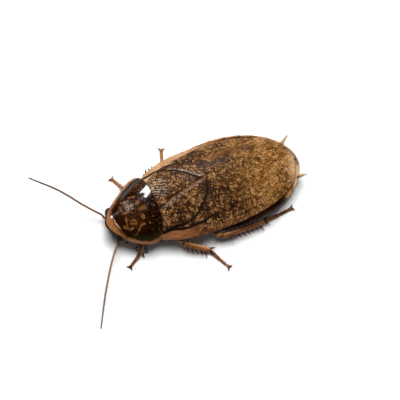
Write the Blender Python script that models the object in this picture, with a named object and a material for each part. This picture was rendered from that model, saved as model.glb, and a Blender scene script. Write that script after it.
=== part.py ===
"""An adult speckled cockroach, Nauphoeta cinerea, life size, standing on its six feet.

The body lies along Y with the head towards -Y, the animal's left is +X and the floor is Z = 0.
Every length is in millimetres until add_object turns it into metres. The fore body bows a little
to the animal's left, as in the photograph. A last step moves the whole so that the origin is below
the middle of its bounding box.
"""

import math

import bmesh
import bpy
from mathutils import Vector

# Driving dimensions: metres in a millimetre, thickness of a shell plate, clearance between parts
MM = 0.001
SHELL = 0.5
GAP = 0.06

# Pronotum, the shield over the head
SHIELD_FRONT = -14.36
SHIELD_WIDEST = -9.1
SHIELD_REAR = -7.57
SHIELD_HALF_WIDTH = 4.33
SHIELD_REAR_BOW = 0.004
SHIELD_FRONT_POWER = 1.1
SHIELD_FRONT_ROUND = 0.57
SHIELD_REAR_POWER = 4.0
SHIELD_SIDE_Z = 2.55
SHIELD_FRONT_Z = 3.36
SHIELD_RIDGE_Z = 5.03
SHIELD_REAR_Z = 4.85
SHIELD_RISE_START = -11.0
SHIELD_CORNER_RISE = 0.15
# How far its midline lies to the animal's left at its rear, its middle and its front
SHIELD_SHIFT = (-0.38, 0.33, 0.3)

# The fore body bows sideways towards the animal's left, from this station to the front of the head
BOW = 0.65
BOW_START = 2.0
BOW_END = -14.2

# Folded fore wings, the tegmina
WING_HALF_WIDTH = 5.58
WING_TIP = 12.5
WING_SHOULDER_CURVE = 12.39
WING_TOP_Z = 5.3
WING_BASE_Z = 4.85
WING_TIP_Z = 3.5
WING_EDGE_Z = 3.2
WING_LAP = 1.1
WING_CREST_Y = -2.0

# Abdomen and thorax
ABDOMEN_HALF_WIDTH = 5.95
ABDOMEN_WIDEST = 2.6
ABDOMEN_END = 13.4
ABDOMEN_TOP_Z = 4.1
ABDOMEN_RIM_Z = 2.55
BELLY_Z = 1.0
BELLY_LOWEST_Y = 5.5
SEGMENT_EDGES = (-0.9, 1.3, 3.3, 5.3, 7.3, 9.1, 10.7, 12.0)

# Head, measured along an axis that slopes down and back from the crown to the mouth
CROWN = Vector((-0.28, -13.72, 2.59))
HEAD_LENGTH = 3.1
HEAD_SLOPE = math.radians(35.0)
HEAD_HALF_WIDTH = 1.95
HEAD_HALF_DEPTH = 0.82
HEAD_WIDEST = 0.34
HEAD_DEEPEST = 0.4
EYE_THICKNESS = 0.34

# Legs, jointed from base to toe: the reach of each foot follows the photograph
PAD_Z = 0.21
LEGS = {
    "left_front": {
        "base": (0.80, -10.0, 1.30), "hip": (1.25, -8.35, 1.12), "thigh": (1.85, -8.1, 1.15),
        "knee": (2.75, -10.2, 2.0), "ankle": (4.35, -10.7, 0.60), "toe": (5.55, -12.55, PAD_Z),
        "tibia": 0.27, "spines": 4,
    },
    "right_front": {
        "base": (-0.80, -10.0, 1.30), "hip": (-1.25, -8.35, 1.12), "thigh": (-1.85, -8.1, 1.15),
        "knee": (-1.95, -10.1, 2.05), "ankle": (-3.9, -9.0, 0.60), "toe": (-5.95, -10.05, PAD_Z),
        "tibia": 0.27, "spines": 4,
    },
    "left_middle": {
        "base": (1.3, -6.6, 1.35), "hip": (2.3, -4.5, 1.15), "thigh": (2.3, -4.5, 1.15),
        "knee": (5.25, -5.6, 1.75), "ankle": (7.05, -2.1, 0.60), "toe": (9.8, -0.55, PAD_Z),
        "tibia": 0.30, "spines": 5,
    },
    "right_middle": {
        "base": (-1.3, -6.6, 1.35), "hip": (-2.1, -4.4, 1.15), "thigh": (-2.35, -4.3, 1.15),
        "knee": (-4.5, -6.6, 1.75), "ankle": (-4.8, -3.45, 0.60), "toe": (-7.5, -2.35, PAD_Z),
        "tibia": 0.30, "spines": 5,
    },
    "left_hind": {
        "base": (1.4, -3.6, 1.35), "hip": (2.4, -1.3, 1.15), "thigh": (2.4, -1.3, 1.15),
        "knee": (6.15, -0.5, 1.70), "ankle": (5.95, 6.3, 0.60), "toe": (5.4, 10.7, PAD_Z),
        "tibia": 0.31, "spines": 8,
    },
    "right_hind": {
        "base": (-1.4, -3.6, 1.35), "hip": (-2.4, -1.3, 1.15), "thigh": (-2.4, -1.3, 1.15),
        "knee": (-5.15, -0.9, 1.70), "ankle": (-4.9, 5.9, 0.60), "toe": (-4.3, 10.1, PAD_Z),
        "tibia": 0.31, "spines": 8,
    },
}

# Feelers: root, one or two points on the way, and tip
ANTENNA_RADIUS = 0.25
ANTENNAE = {
    "left": (
        (1.8, -13.05, 1.1), (2.45, -13.2, 1.4), (4.9, -15.5, 2.9), (8.6, -18.3, 4.4), (12.9, -21.2, 6.0),
    ),
    "right": (
        (-1.25, -13.12, 1.08), (-1.65, -13.6, 1.4), (-3.1, -15.8, 3.0), (-5.4, -18.7, 5.0),
        (-7.4, -22.4, 7.5),
    ),
}

# Colours, linear
TAN = (0.42, 0.23, 0.10)
BROWN = (0.17, 0.085, 0.035)
DARK = (0.035, 0.014, 0.007)
AMBER = (0.33, 0.14, 0.045)
BLACK = (0.008, 0.006, 0.005)


def clear_scene():
    for obj in list(bpy.data.objects):
        bpy.data.objects.remove(obj, do_unlink=True)


def material(name, colour, roughness):
    made = bpy.data.materials.new(name)
    made.use_nodes = True
    shader = made.node_tree.nodes["Principled BSDF"]
    shader.inputs["Base Color"].default_value = (*colour, 1.0)
    shader.inputs["Roughness"].default_value = roughness
    shader.inputs["Metallic"].default_value = 0.0
    return made


def bowed(point):
    """A point of the straight body, carried sideways by the bow of the fore body."""
    point = Vector(point)
    ahead = max(0.0, BOW_START - point.y) / (BOW_START - BOW_END)
    return point + Vector((BOW * ahead ** 2.1, 0.0, 0.0))


def shield_shifted(point):
    """A point of the straight shield, carried sideways: the shield is turned a little on the body."""
    point = Vector(point)
    rear, middle, front = SHIELD_SHIFT
    u = (point.y - SHIELD_REAR) / (SHIELD_FRONT - SHIELD_REAR)
    shift = rear * (1 - u) * (1 - 2 * u) + middle * 4 * u * (1 - u) + front * u * (2 * u - 1)
    return point + Vector((shift, 0.0, 0.0))


def add_object(name, points, faces, finish, parent):
    mesh = bpy.data.meshes.new(name)
    mesh.from_pydata([Vector(p) * MM for p in points], [], faces)
    mesh.materials.append(finish)
    mesh.update()
    obj = bpy.data.objects.new(name, mesh)
    obj.parent = parent
    bpy.context.collection.objects.link(obj)
    return obj


def tidy_normals(obj):
    """Turns the faces of a closed mesh outwards and shades it smooth but for its sharp edges."""
    bm = bmesh.new()
    bm.from_mesh(obj.data)
    bmesh.ops.recalc_face_normals(bm, faces=bm.faces)
    bm.to_mesh(obj.data)
    bm.free()
    obj.data.shade_smooth()
    obj.data.set_sharp_from_angle(angle=math.radians(50))


def loft(name, rings, finish, parent):
    """A closed body through rings of equally many points, capped at both ends."""
    count = len(rings[0])
    points = [p for ring in rings for p in ring]
    faces = [tuple(range(count))]
    for row in range(len(rings) - 1):
        for k in range(count):
            a = row * count + k
            b = row * count + (k + 1) % count
            faces.append((a, b, b + count, a + count))
    last = (len(rings) - 1) * count
    faces.append(tuple(last + k for k in reversed(range(count))))
    obj = add_object(name, points, faces, finish, parent)
    tidy_normals(obj)
    return obj


def thicken(obj, thickness):
    """Makes an open sheet with its face upwards into a plate, keeping its upper face in place."""
    solid = obj.modifiers.new("Thickness", "SOLIDIFY")
    solid.thickness = thickness * MM
    solid.offset = -1.0
    obj.data.shade_smooth()


def signed_power(value, power):
    return math.copysign(abs(value) ** power, value)


def smooth_path(stops, count):
    """Points spread along a Catmull-Rom curve through the stops."""
    stops = [Vector(s) for s in stops]
    padded = [stops[0] * 2 - stops[1], *stops, stops[-1] * 2 - stops[-2]]
    spans = len(stops) - 1
    path = []
    for k in range(count):
        at = k / (count - 1) * spans
        i = min(int(at), spans - 1)
        t = at - i
        a, b, c, d = padded[i:i + 4]
        bend = (2 * a - 5 * b + 4 * c - d) * t * t + (3 * b - a - 3 * c + d) * t ** 3
        path.append((2 * b + (c - a) * t + bend) * 0.5)
    return path


def tube_rings(path, widths, heights, sides=8, up=(0.0, 0.0, 1.0)):
    """Rings square to a path, each with a flat side above and below."""
    up = Vector(up)
    rings = []
    for k, centre in enumerate(path):
        ahead = path[min(k + 1, len(path) - 1)] - path[max(k - 1, 0)]
        side = ahead.cross(up).normalized()
        rise = side.cross(ahead).normalized()
        ring = []
        for n in range(sides):
            angle = 2 * math.pi * (n + 0.5) / sides
            across = side * widths[k] * math.cos(angle)
            ring.append(centre + across + rise * heights[k] * math.sin(angle))
        rings.append(ring)
    return rings


def rounded(count, radius, end=0.6):
    """Radii along a limb that narrow a little at both ends."""
    return [radius * (end if k in (0, count - 1) else 1.0) for k in range(count)]


def straight(start, end, fractions):
    start, end = Vector(start), Vector(end)
    return [start.lerp(end, f) for f in fractions]


def hold_back(before, joint, after, radius):
    """How far two segments stop short of their joint, so that their ends clear each other."""
    half_angle = (Vector(before) - Vector(joint)).angle(Vector(after) - Vector(joint)) / 2
    return radius / math.tan(half_angle) + GAP / 2


def segment_path(start, end, at_start, at_end, middles):
    """Points along a segment: it narrows from twice the hold-back to the hold-back at each end."""
    start, end = Vector(start), Vector(end)
    length = (end - start).length
    low, high = at_start / length, 1 - at_end / length
    inner_low, inner_high = 2.3 * low, 1 - 2.3 * (1 - high)
    spread = [inner_low + (inner_high - inner_low) * k / (middles - 1) for k in range(middles)]
    return [start.lerp(end, f) for f in (low, *spread, high)]


def add_spines(obj, spines, base=0.13):
    """Draws spines out of side faces: each takes the nearest face, insets it and pulls its centre out.

    A spine is (place on the limb, tip), both in millimetres.
    """
    bm = bmesh.new()
    bm.from_mesh(obj.data)
    for place, tip in spines:
        place, tip = Vector(place) * MM, Vector(tip) * MM
        pull = (tip - place).normalized()
        free = [f for f in bm.faces if len(f.verts) == 4 and f.normal.dot(pull) > 0.5 and not f.tag]
        face = min(free, key=lambda f: (f.calc_center_median() - place).length)
        bmesh.ops.inset_individual(bm, faces=[face], thickness=0.02 * MM)
        centre = face.calc_center_median()
        for vert in face.verts:
            arm = vert.co - centre
            vert.co = centre + arm.normalized() * min(arm.length, base * MM)
        made = bmesh.ops.poke(bm, faces=[face])
        made["verts"][0].co = centre + (tip - place)
        for new in made["faces"]:
            new.tag = True
        bm.normal_update()
    bm.to_mesh(obj.data)
    bm.free()
    tidy_normals(obj)


# Heights and outlines of the body


def shield_outline(count):
    """Points round the shield: a blunt arch in front and a squarer, slightly bowed rear margin."""
    points = []
    for k in range(count):
        angle = 2 * math.pi * k / count
        c, s = math.cos(angle), math.sin(angle)
        power = 2 / SHIELD_REAR_POWER if s > 0 else 2 / SHIELD_FRONT_POWER
        x = SHIELD_HALF_WIDTH * signed_power(c, power if s > 0 else 2 * SHIELD_FRONT_ROUND)
        reach = SHIELD_REAR - SHIELD_REAR_BOW * x * x if s > 0 else SHIELD_FRONT
        y = SHIELD_WIDEST + (reach - SHIELD_WIDEST) * abs(s) ** power
        points.append((x, y))
    return points


def shield_half_width(y):
    ahead = max(0.0, (SHIELD_WIDEST - y) / (SHIELD_WIDEST - SHIELD_FRONT))
    return SHIELD_HALF_WIDTH * max(1e-6, 1 - ahead ** SHIELD_FRONT_POWER) ** SHIELD_FRONT_ROUND


def shield_top(x, y):
    ahead = max(0.0, (SHIELD_WIDEST - y) / (SHIELD_WIDEST - SHIELD_FRONT))
    behind = max(0.0, (y - SHIELD_WIDEST) / (SHIELD_REAR - SHIELD_WIDEST))
    ridge = SHIELD_RIDGE_Z - (SHIELD_RIDGE_Z - SHIELD_FRONT_Z) * ahead ** 2.2
    ridge -= (SHIELD_RIDGE_Z - SHIELD_REAR_Z) * behind ** 2
    towards_rear = max(0.0, min(1.0, (y - SHIELD_RISE_START) / (SHIELD_REAR - SHIELD_RISE_START)))
    side = SHIELD_SIDE_Z + (SHIELD_FRONT_Z - SHIELD_SIDE_Z) * ahead ** 1.5
    side += SHIELD_CORNER_RISE * towards_rear ** 1.5
    across = min(1.0, abs(x) / shield_half_width(y))
    return side + (ridge - side) * (1 - across ** 2.6) ** 0.8


def wing_half_width(y):
    if y < 0:
        return WING_HALF_WIDTH * (1 - abs(y / WING_SHOULDER_CURVE) ** 2.9)
    return WING_HALF_WIDTH * max(0.0, 1 - (y / WING_TIP) ** 2.2) ** 0.42


def wing_edge_z(y):
    if y < 0:
        return WING_EDGE_Z - 0.3 * (y / 7.6) ** 2
    return WING_EDGE_Z - 0.2 * (y / WING_TIP) ** 2


def wing_ridge_z(y):
    if y < WING_CREST_Y:
        ahead = (WING_CREST_Y - y) / (WING_CREST_Y - SHIELD_REAR)
        return WING_TOP_Z - (WING_TOP_Z - WING_BASE_Z) * ahead ** 2
    behind = (y - WING_CREST_Y) / (WING_TIP - WING_CREST_Y)
    return WING_TOP_Z - (WING_TOP_Z - WING_TIP_Z) * behind ** 2.2


def wing_top(x, y):
    across = min(1.0, abs(x) / max(0.05, wing_half_width(y)))
    return wing_edge_z(y) + (wing_ridge_z(y) - wing_edge_z(y)) * (1 - across ** 2.2) ** 0.9


def wing_lap(y):
    """Where the inner margin of the left wing lies: it crosses the middle and swings back at the tail."""
    if y < 0:
        return -WING_LAP + (WING_LAP + 0.55) * (y / -7.3) ** 1.2
    return -WING_LAP - 0.95 * math.sin(math.pi * min(1.0, y / 13.4)) ** 0.9


def wing_base_y(x):
    """The front margins of the wings run just behind the rear margin of the shield."""
    return SHIELD_REAR + 2 * GAP - SHIELD_REAR_BOW * x * x


def abdomen_half_width(y):
    if y < ABDOMEN_WIDEST:
        return ABDOMEN_HALF_WIDTH * (1 - ((y - ABDOMEN_WIDEST) / 14.0) ** 2)
    along = (y - ABDOMEN_WIDEST) / (ABDOMEN_END + 0.05 - ABDOMEN_WIDEST)
    return ABDOMEN_HALF_WIDTH * max(0.0, 1 - along ** 2.2) ** 0.55


def abdomen_side_z(y):
    return ABDOMEN_RIM_Z - 0.2 * max(0.0, y / ABDOMEN_END) ** 2


def abdomen_top(x, y):
    across = min(1.0, abs(x) / abdomen_half_width(y))
    middle = min(ABDOMEN_TOP_Z, wing_ridge_z(y) - 0.85)
    return abdomen_side_z(y) + (middle - abdomen_side_z(y)) * (1 - across ** 2.2) ** 1.6


def abdomen_bottom(x, y):
    across = min(1.0, abs(x) / abdomen_half_width(y))
    rise = 0.021 if y < BELLY_LOWEST_Y else 0.0155
    middle = BELLY_Z + rise * (y - BELLY_LOWEST_Y) ** 2
    return abdomen_side_z(y) - (abdomen_side_z(y) - middle) * (1 - across ** 2.6) ** 0.7


def head_frame():
    """The head's axis, its left side and its upper rear."""
    along = Vector((0.0, math.cos(HEAD_SLOPE), -math.sin(HEAD_SLOPE)))
    side = Vector((1.0, 0.0, 0.0))
    return along, side, side.cross(along)


def head_profile(s):
    """Half width and half depth of the head at a fraction s of its length."""
    if s < HEAD_WIDEST:
        width = (1 - ((HEAD_WIDEST - s) / (HEAD_WIDEST + 0.02)) ** 2) ** 0.5
    else:
        width = 1 - 0.62 * ((s - HEAD_WIDEST) / (1 - HEAD_WIDEST)) ** 1.3
    if s < HEAD_DEEPEST:
        depth = (1 - ((HEAD_DEEPEST - s) / (HEAD_DEEPEST + 0.02)) ** 2) ** 0.5
    else:
        depth = 1 - 0.55 * ((s - HEAD_DEEPEST) / (1 - HEAD_DEEPEST)) ** 1.6
    return HEAD_HALF_WIDTH * width, HEAD_HALF_DEPTH * depth


def head_point(s, angle, lift=0.0):
    """A point of the head's surface: angle 0 is its left side and 90 degrees its upper rear."""
    along, side, rear = head_frame()
    width, depth = head_profile(s)
    c, e = math.cos(angle), math.sin(angle)
    centre = CROWN + along * (HEAD_LENGTH * s)
    across = side * (width + lift) * signed_power(c, 0.9)
    return centre + across + rear * (depth + lift) * signed_power(e, 0.9)


def mirrored(point, sign):
    """A point beside the head, or its twin on the other side of the head's own middle."""
    return Vector((CROWN.x + (point[0] - CROWN.x) * sign, point[1], point[2]))


# Parts of the body


def make_pronotum(finish, parent):
    rings = (0.32, 0.58, 0.78, 0.91, 1.0)
    outline = shield_outline(28)
    middle = (0.0, -9.8)
    points = [(*middle, shield_top(*middle))]
    for ring in rings:
        for x, y in outline:
            px = middle[0] + (x - middle[0]) * ring
            py = middle[1] + (y - middle[1]) * ring
            points.append((px, py, shield_top(px, py)))
    count = len(outline)
    faces = [(0, 1 + k, 1 + (k + 1) % count) for k in range(count)]
    for row in range(len(rings) - 1):
        for k in range(count):
            a = 1 + row * count + k
            b = 1 + row * count + (k + 1) % count
            faces.append((a, a + count, b + count, b))
    points = [shield_shifted(p) for p in points]
    thicken(add_object("pronotum", points, faces, finish, parent), SHELL)


def make_tegmen(side, finish, parent):
    """One fore wing. The left one laps over the middle, and the right one ends beside it."""
    rows, columns = 17, 8
    start, end = wing_base_y(0.0), WING_TIP - 0.03
    if side == "right":
        end = WING_TIP - 0.38
    points = []
    for row in range(rows):
        u = row / (rows - 1)
        y = start + (end - start) * (1 - (1 - u) ** 1.5)
        inner, outer = wing_lap(y), wing_half_width(y)
        if side == "right":
            inner, outer = inner - 2 * GAP, -outer
        else:
            inner = max(inner, -outer)
        for column in range(columns):
            v = 1 - (1 - column / (columns - 1)) ** 1.35
            x = inner + (outer - inner) * v
            fade = max(0.0, 1 - u / 0.2)
            shifted = y + (wing_base_y(x) - start) * fade
            points.append(bowed((x, shifted, wing_top(x, shifted))))
    faces = []
    for row in range(rows - 1):
        for column in range(columns - 1):
            a = row * columns + column
            quad = (a, a + 1, a + 1 + columns, a + columns)
            faces.append(quad if side == "left" else quad[::-1])
    thicken(add_object(f"tegmen_{side}", points, faces, finish, parent), SHELL)


def abdomen_ring(y, inset=0.0):
    width = abdomen_half_width(y) - inset
    ring = []
    for k in range(9):
        x = width * math.cos(math.pi * k / 8)
        ring.append((x, y, abdomen_top(x, y) - inset * 0.5))
    for k in range(1, 8):
        x = -width * math.cos(math.pi * k / 8)
        ring.append((x, y, abdomen_bottom(x, y) + inset * 0.5))
    return [bowed(p) for p in ring]


def make_abdomen(finish, parent):
    for number, (front, rear) in enumerate(zip(SEGMENT_EDGES, SEGMENT_EDGES[1:]), start=1):
        front += GAP / 2
        rear -= GAP / 2
        rings = [
            abdomen_ring(front, 0.1),
            abdomen_ring(front + (rear - front) * 0.45, 0.03),
            abdomen_ring(rear - 0.08),
            abdomen_ring(rear, 0.05),
        ]
        loft(f"abdomen_segment_{number}", rings, finish, parent)
    start = SEGMENT_EDGES[-1] + GAP / 2
    stations = (0.0, 0.35, 0.65, 0.88, 1.0)
    rings = [abdomen_ring(start + (ABDOMEN_END - start) * s, 0.05) for s in stations]
    loft("supra_anal_plate", rings, finish, parent)


def body_block(name, stations, finish, parent):
    """A soft block of the body: each station is (y, half width, lowest z, highest z)."""
    rings = []
    for y, width, low, high in stations:
        ring = []
        for k in range(14):
            angle = 2 * math.pi * (k + 0.5) / 14
            x = width * signed_power(math.cos(angle), 0.75)
            z = (low + high) / 2 + (high - low) / 2 * signed_power(math.sin(angle), 0.75)
            ring.append(bowed((x, y, z)))
        rings.append(ring)
    loft(name, rings, finish, parent)


def make_thorax(finish, parent):
    along, _, rear = head_frame()
    root = CROWN + along * (HEAD_LENGTH * 0.36) + rear * (HEAD_HALF_DEPTH + GAP)
    path = [root, root + rear * 0.25, Vector((CROWN.x / 2, -11.15, 3.0))]
    rings = tube_rings([bowed(p) for p in path], (0.7, 0.65, 0.75), (0.42, 0.4, 0.5), 12)
    loft("neck", rings, finish, parent)
    body_block(
        "prothorax",
        ((-11.05, 1.2, 2.2, 3.7), (-10.2, 1.8, 2.0, 3.95), (-9.0, 2.2, 1.9, 4.1), (-7.75, 2.6, 1.85, 4.1)),
        finish, parent,
    )
    body_block(
        "mesothorax",
        ((-7.3, 2.6, 1.85, 3.9), (-6.4, 3.1, 1.8, 4.05), (-5.2, 3.5, 1.8, 4.15), (-4.1, 3.7, 1.85, 4.2)),
        finish, parent,
    )
    body_block(
        "metathorax",
        ((-4.0, 3.9, 1.85, 4.3), (-3.0, 4.1, 1.85, 4.35), (-1.9, 4.1, 1.9, 4.3), (-1.0, 4.0, 2.0, 4.2)),
        finish, parent,
    )


def make_head(finishes, parent):
    count = 16
    fractions = (0.0, 0.07, 0.17, 0.3, 0.45, 0.6, 0.76, 0.9, 1.0)
    rings = []
    for s in fractions:
        rings.append([bowed(head_point(s, 2 * math.pi * k / count)) for k in range(count)])
    loft("head", rings, finishes["head"], parent)
    along = head_frame()[0]
    path = [CROWN + along * (HEAD_LENGTH * 1.02 + d) for d in (0.0, 0.3, 0.62)]
    rings = tube_rings([bowed(p) for p in path], (0.68, 0.62, 0.4), (0.33, 0.3, 0.25), 10)
    loft("labrum", rings, finishes["head"], parent)
    for name, sign in (("left", 1), ("right", -1)):
        make_eye(f"eye_{name}", sign, finishes["eye"], parent)


def make_eye(name, sign, finish, parent):
    """A kidney-shaped eye, laid on the upper side of the head with its rim against it."""
    spokes, rings = 14, (0.45, 0.8, 1.0)
    mid_s, mid_angle = 0.28, math.radians(12)
    reach_s, reach_angle = 0.24, math.radians(40)

    def place(ring, spoke, lift):
        turn = 2 * math.pi * spoke / spokes
        s = mid_s + reach_s * ring * math.cos(turn)
        angle = mid_angle + reach_angle * ring * math.sin(turn)
        return bowed(mirrored(head_point(s, angle, lift), sign))

    inner = [place(0.0, 0, GAP)]
    outer = [place(0.0, 0, GAP + EYE_THICKNESS)]
    for ring in rings:
        bulge = 0.08 + (EYE_THICKNESS - 0.08) * (1 - ring ** 2.4)
        for spoke in range(spokes):
            inner.append(place(ring, spoke, GAP))
            outer.append(place(ring, spoke, GAP + bulge))
    half = len(inner)
    faces = []
    for shift in (0, half):
        for k in range(spokes):
            faces.append((shift, shift + 1 + k, shift + 1 + (k + 1) % spokes))
        for row in range(len(rings) - 1):
            for k in range(spokes):
                a = shift + 1 + row * spokes + k
                b = shift + 1 + row * spokes + (k + 1) % spokes
                faces.append((a, a + spokes, b + spokes, b))
    rim = 1 + (len(rings) - 1) * spokes
    for k in range(spokes):
        a, b = rim + k, rim + (k + 1) % spokes
        faces.append((a, b, half + b, half + a))
    tidy_normals(add_object(name, inner + outer, faces, finish, parent))


def make_feelers(finishes, parent):
    for name, (root, elbow, *rest) in ANTENNAE.items():
        path = straight(root, elbow, (0.0, 0.2, 0.7, 0.84))
        radii = rounded(4, 0.27, 0.8)
        loft(f"antenna_base_{name}", tube_rings(path, radii, radii), finishes["limb"], parent)
        path = smooth_path([elbow, *rest], 13)
        radii = [ANTENNA_RADIUS] * len(path)
        loft(f"antenna_{name}", tube_rings(path, radii, radii), finishes["feeler"], parent)


def make_mouth_feelers(finishes, parent):
    """The palps: long maxillary ones that reach forward beside the head, short labial ones below."""
    maxillary = {
        "left": ((1.12, -11.55, 0.9), (1.6, -11.7, 0.62), (2.05, -11.9, 0.85), (2.35, -12.15, 1.4)),
        "right": ((1.12, -11.55, 0.9), (1.45, -11.7, 0.6), (1.7, -12.0, 0.65), (1.8, -12.45, 0.85)),
    }
    labial = ((0.5, -10.5, 0.95), (0.8, -10.7, 0.6), (0.95, -11.1, 0.5))
    for name, sign in (("left", 1), ("right", -1)):
        path = smooth_path([bowed(mirrored(stop, sign)) for stop in maxillary[name]], 9)
        radii = rounded(9, 0.25, 0.7)
        loft(f"maxillary_palp_{name}", tube_rings(path, radii, radii), finishes["limb"], parent)
        path = smooth_path([bowed(mirrored(stop, sign)) for stop in labial], 6)
        radii = rounded(6, 0.24, 0.7)
        loft(f"labial_palp_{name}", tube_rings(path, radii, radii), finishes["limb"], parent)


def make_cerci(finish, parent):
    stops = {
        "left": ((2.0, 12.2, 1.7), (2.2, 12.9, 1.98), (2.32, 13.75, 2.3)),
        "right": ((-2.3, 12.0, 1.72), (-2.85, 12.75, 2.0), (-3.4, 13.6, 2.3)),
    }
    for name in stops:
        path = smooth_path(stops[name], 6)
        radii = (0.2, 0.27, 0.27, 0.25, 0.2, 0.12)
        loft(f"cercus_{name}", tube_rings(path, radii, radii), finish, parent)


def make_leg(name, leg, finishes, parent):
    """Coxa, femur, spiny tibia and a tarsus that ends flat on the floor, each a node of its own."""
    finish = finishes["limb"]
    leg = {**leg, **{joint: bowed(leg[joint]) for joint in ("base", "hip", "thigh")}}
    at_hip = hold_back(leg["base"], leg["hip"], leg["knee"], 0.2)
    path = segment_path(leg["base"], leg["hip"], 0.1, at_hip, 3)
    rings = tube_rings(path, (0.45, 0.6, 0.6, 0.4, 0.24), (0.25, 0.36, 0.36, 0.3, 0.18))
    loft(f"coxa_{name}", rings, finish, parent)

    at_knee = hold_back(leg["thigh"], leg["knee"], leg["ankle"], 0.17)
    path = segment_path(leg["thigh"], leg["knee"], at_hip, at_knee, 4)
    rings = tube_rings(path, (0.2, 0.36, 0.44, 0.38, 0.28, 0.17), (0.18, 0.27, 0.32, 0.29, 0.26, 0.16))
    loft(f"femur_{name}", rings, finish, parent)

    at_ankle = hold_back(leg["knee"], leg["ankle"], leg["toe"], 0.16)
    path = segment_path(leg["knee"], leg["ankle"], at_knee, at_ankle, leg["spines"] + 1)
    radii = rounded(len(path), leg["tibia"], 0.62)
    tibia = loft(f"tibia_{name}", tube_rings(path, radii, radii), finish, parent)
    add_spines(tibia, tibia_spines(leg, path))

    path = segment_path(leg["ankle"], leg["toe"], at_ankle, 0.0, 2)
    start, toe = path[0], path[-1]
    low = start.lerp(toe, 0.6)
    low.z = 0.27
    path = smooth_path([start, low, toe], 9)
    radii = [0.16, 0.23, 0.25, 0.25, 0.25, 0.25, 0.25, 0.27, 0.25]
    rings = tube_rings(path, radii, radii)
    for ring in rings:
        for point in ring:
            point.z = max(point.z, 0.0)
    tarsus = loft(f"tarsus_{name}", rings, finish, parent)
    ahead = Vector((toe.x - start.x, toe.y - start.y, 0.0)).normalized()
    across = Vector((-ahead.y, ahead.x, 0.0))
    claws = []
    for sign in (1, -1):
        place = path[-2].lerp(path[-1], 0.5) + across * sign * 0.25
        claws.append((place, place + across * sign * 0.26 + ahead * 0.22 + Vector((0.0, 0.0, -0.1))))
    add_spines(tarsus, claws, 0.12)


def tibia_spines(leg, path):
    """Two rows of spines, on the outer and the lower side, raked towards the foot."""
    along = (path[-1] - path[0]).normalized()
    out = along.cross(Vector((0.0, 0.0, 1.0))).normalized()
    out *= math.copysign(1.0, out.x * leg["toe"][0])
    down = along.cross(out).normalized()
    down *= -math.copysign(1.0, down.z)
    spines = []
    for k in range(leg["spines"]):
        place = path[k + 1].lerp(path[k + 2], 0.5)
        inner = (out * 0.35 + down) if k % 2 == 0 else (down * 0.8 - out * 0.7)
        for way in (out + down * 0.15, inner):
            way = way.normalized()
            tip = place + way * (leg["tibia"] + 0.75) + along * 0.45
            tip.z = max(tip.z, 0.12)
            spines.append((place + way * leg["tibia"] * 0.9, tip))
    return spines


def centre_on_origin(root, parts):
    """Moves the whole so that the origin is below the middle of its bounding box, on the floor."""
    bpy.context.view_layer.update()
    graph = bpy.context.evaluated_depsgraph_get()
    corners = []
    for part in parts:
        evaluated = part.evaluated_get(graph)
        corners += [v.co.copy() for v in evaluated.data.vertices]
    for axis in (0, 1):
        values = [c[axis] for c in corners]
        root.location[axis] = -(min(values) + max(values)) / 2


def main():
    clear_scene()
    root = bpy.data.objects.new("cockroach", None)
    bpy.context.collection.objects.link(root)
    finishes = {
        "shield": material("shield", DARK, 0.22),
        "wing": material("wing", BROWN, 0.42),
        "abdomen": material("abdomen", DARK, 0.35),
        "thorax": material("thorax", BROWN, 0.5),
        "head": material("head", DARK, 0.3),
        "eye": material("eye", BLACK, 0.15),
        "limb": material("limb", AMBER, 0.35),
        "feeler": material("feeler", BROWN, 0.45),
        "cercus": material("cercus", TAN, 0.45),
    }
    make_pronotum(finishes["shield"], root)
    make_tegmen("left", finishes["wing"], root)
    make_tegmen("right", finishes["wing"], root)
    make_thorax(finishes["thorax"], root)
    make_abdomen(finishes["abdomen"], root)
    make_cerci(finishes["cercus"], root)
    make_head(finishes, root)
    make_feelers(finishes, root)
    make_mouth_feelers(finishes, root)
    for name, leg in LEGS.items():
        make_leg(name, leg, finishes, root)
    centre_on_origin(root, root.children)


main()
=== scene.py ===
"""The looks of an adult speckled cockroach, life size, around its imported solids.

Lengths are millimetres in the body's own frame, with the head towards -Y, the animal's left at +X
and the floor at Z = 0, until place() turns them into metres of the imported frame. The shape formulas
are those of the solids, drawn finer and with thin shell edges.
"""

import math

import bpy
import numpy as np
from mathutils import Matrix, Vector


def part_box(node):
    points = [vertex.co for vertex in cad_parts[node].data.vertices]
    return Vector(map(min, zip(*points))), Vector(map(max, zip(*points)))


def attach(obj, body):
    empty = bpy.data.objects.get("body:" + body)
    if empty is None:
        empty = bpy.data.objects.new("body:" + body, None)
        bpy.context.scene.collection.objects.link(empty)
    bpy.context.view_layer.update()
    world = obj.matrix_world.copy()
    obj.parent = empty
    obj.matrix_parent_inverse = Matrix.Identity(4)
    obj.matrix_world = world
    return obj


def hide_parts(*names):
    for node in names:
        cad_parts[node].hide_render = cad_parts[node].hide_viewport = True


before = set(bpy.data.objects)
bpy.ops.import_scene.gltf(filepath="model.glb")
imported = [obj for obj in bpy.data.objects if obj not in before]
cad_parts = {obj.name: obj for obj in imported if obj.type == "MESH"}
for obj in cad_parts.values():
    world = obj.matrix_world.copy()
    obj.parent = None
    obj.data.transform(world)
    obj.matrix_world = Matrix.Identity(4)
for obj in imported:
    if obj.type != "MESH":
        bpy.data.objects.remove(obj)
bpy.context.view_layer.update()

MM = 0.001
SEED = 11
rng = np.random.default_rng(SEED)

# The tail plate starts 12.03 mm behind the body's own origin and is centred on its mid-plane
TAIL_PLATE_START = 12.03
tail_low, tail_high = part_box("supra_anal_plate")
ORIGIN = np.array((
    -(tail_low.x + tail_high.x) / 2 / MM,
    TAIL_PLATE_START - tail_low.y / MM,
    0.0,
))

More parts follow.
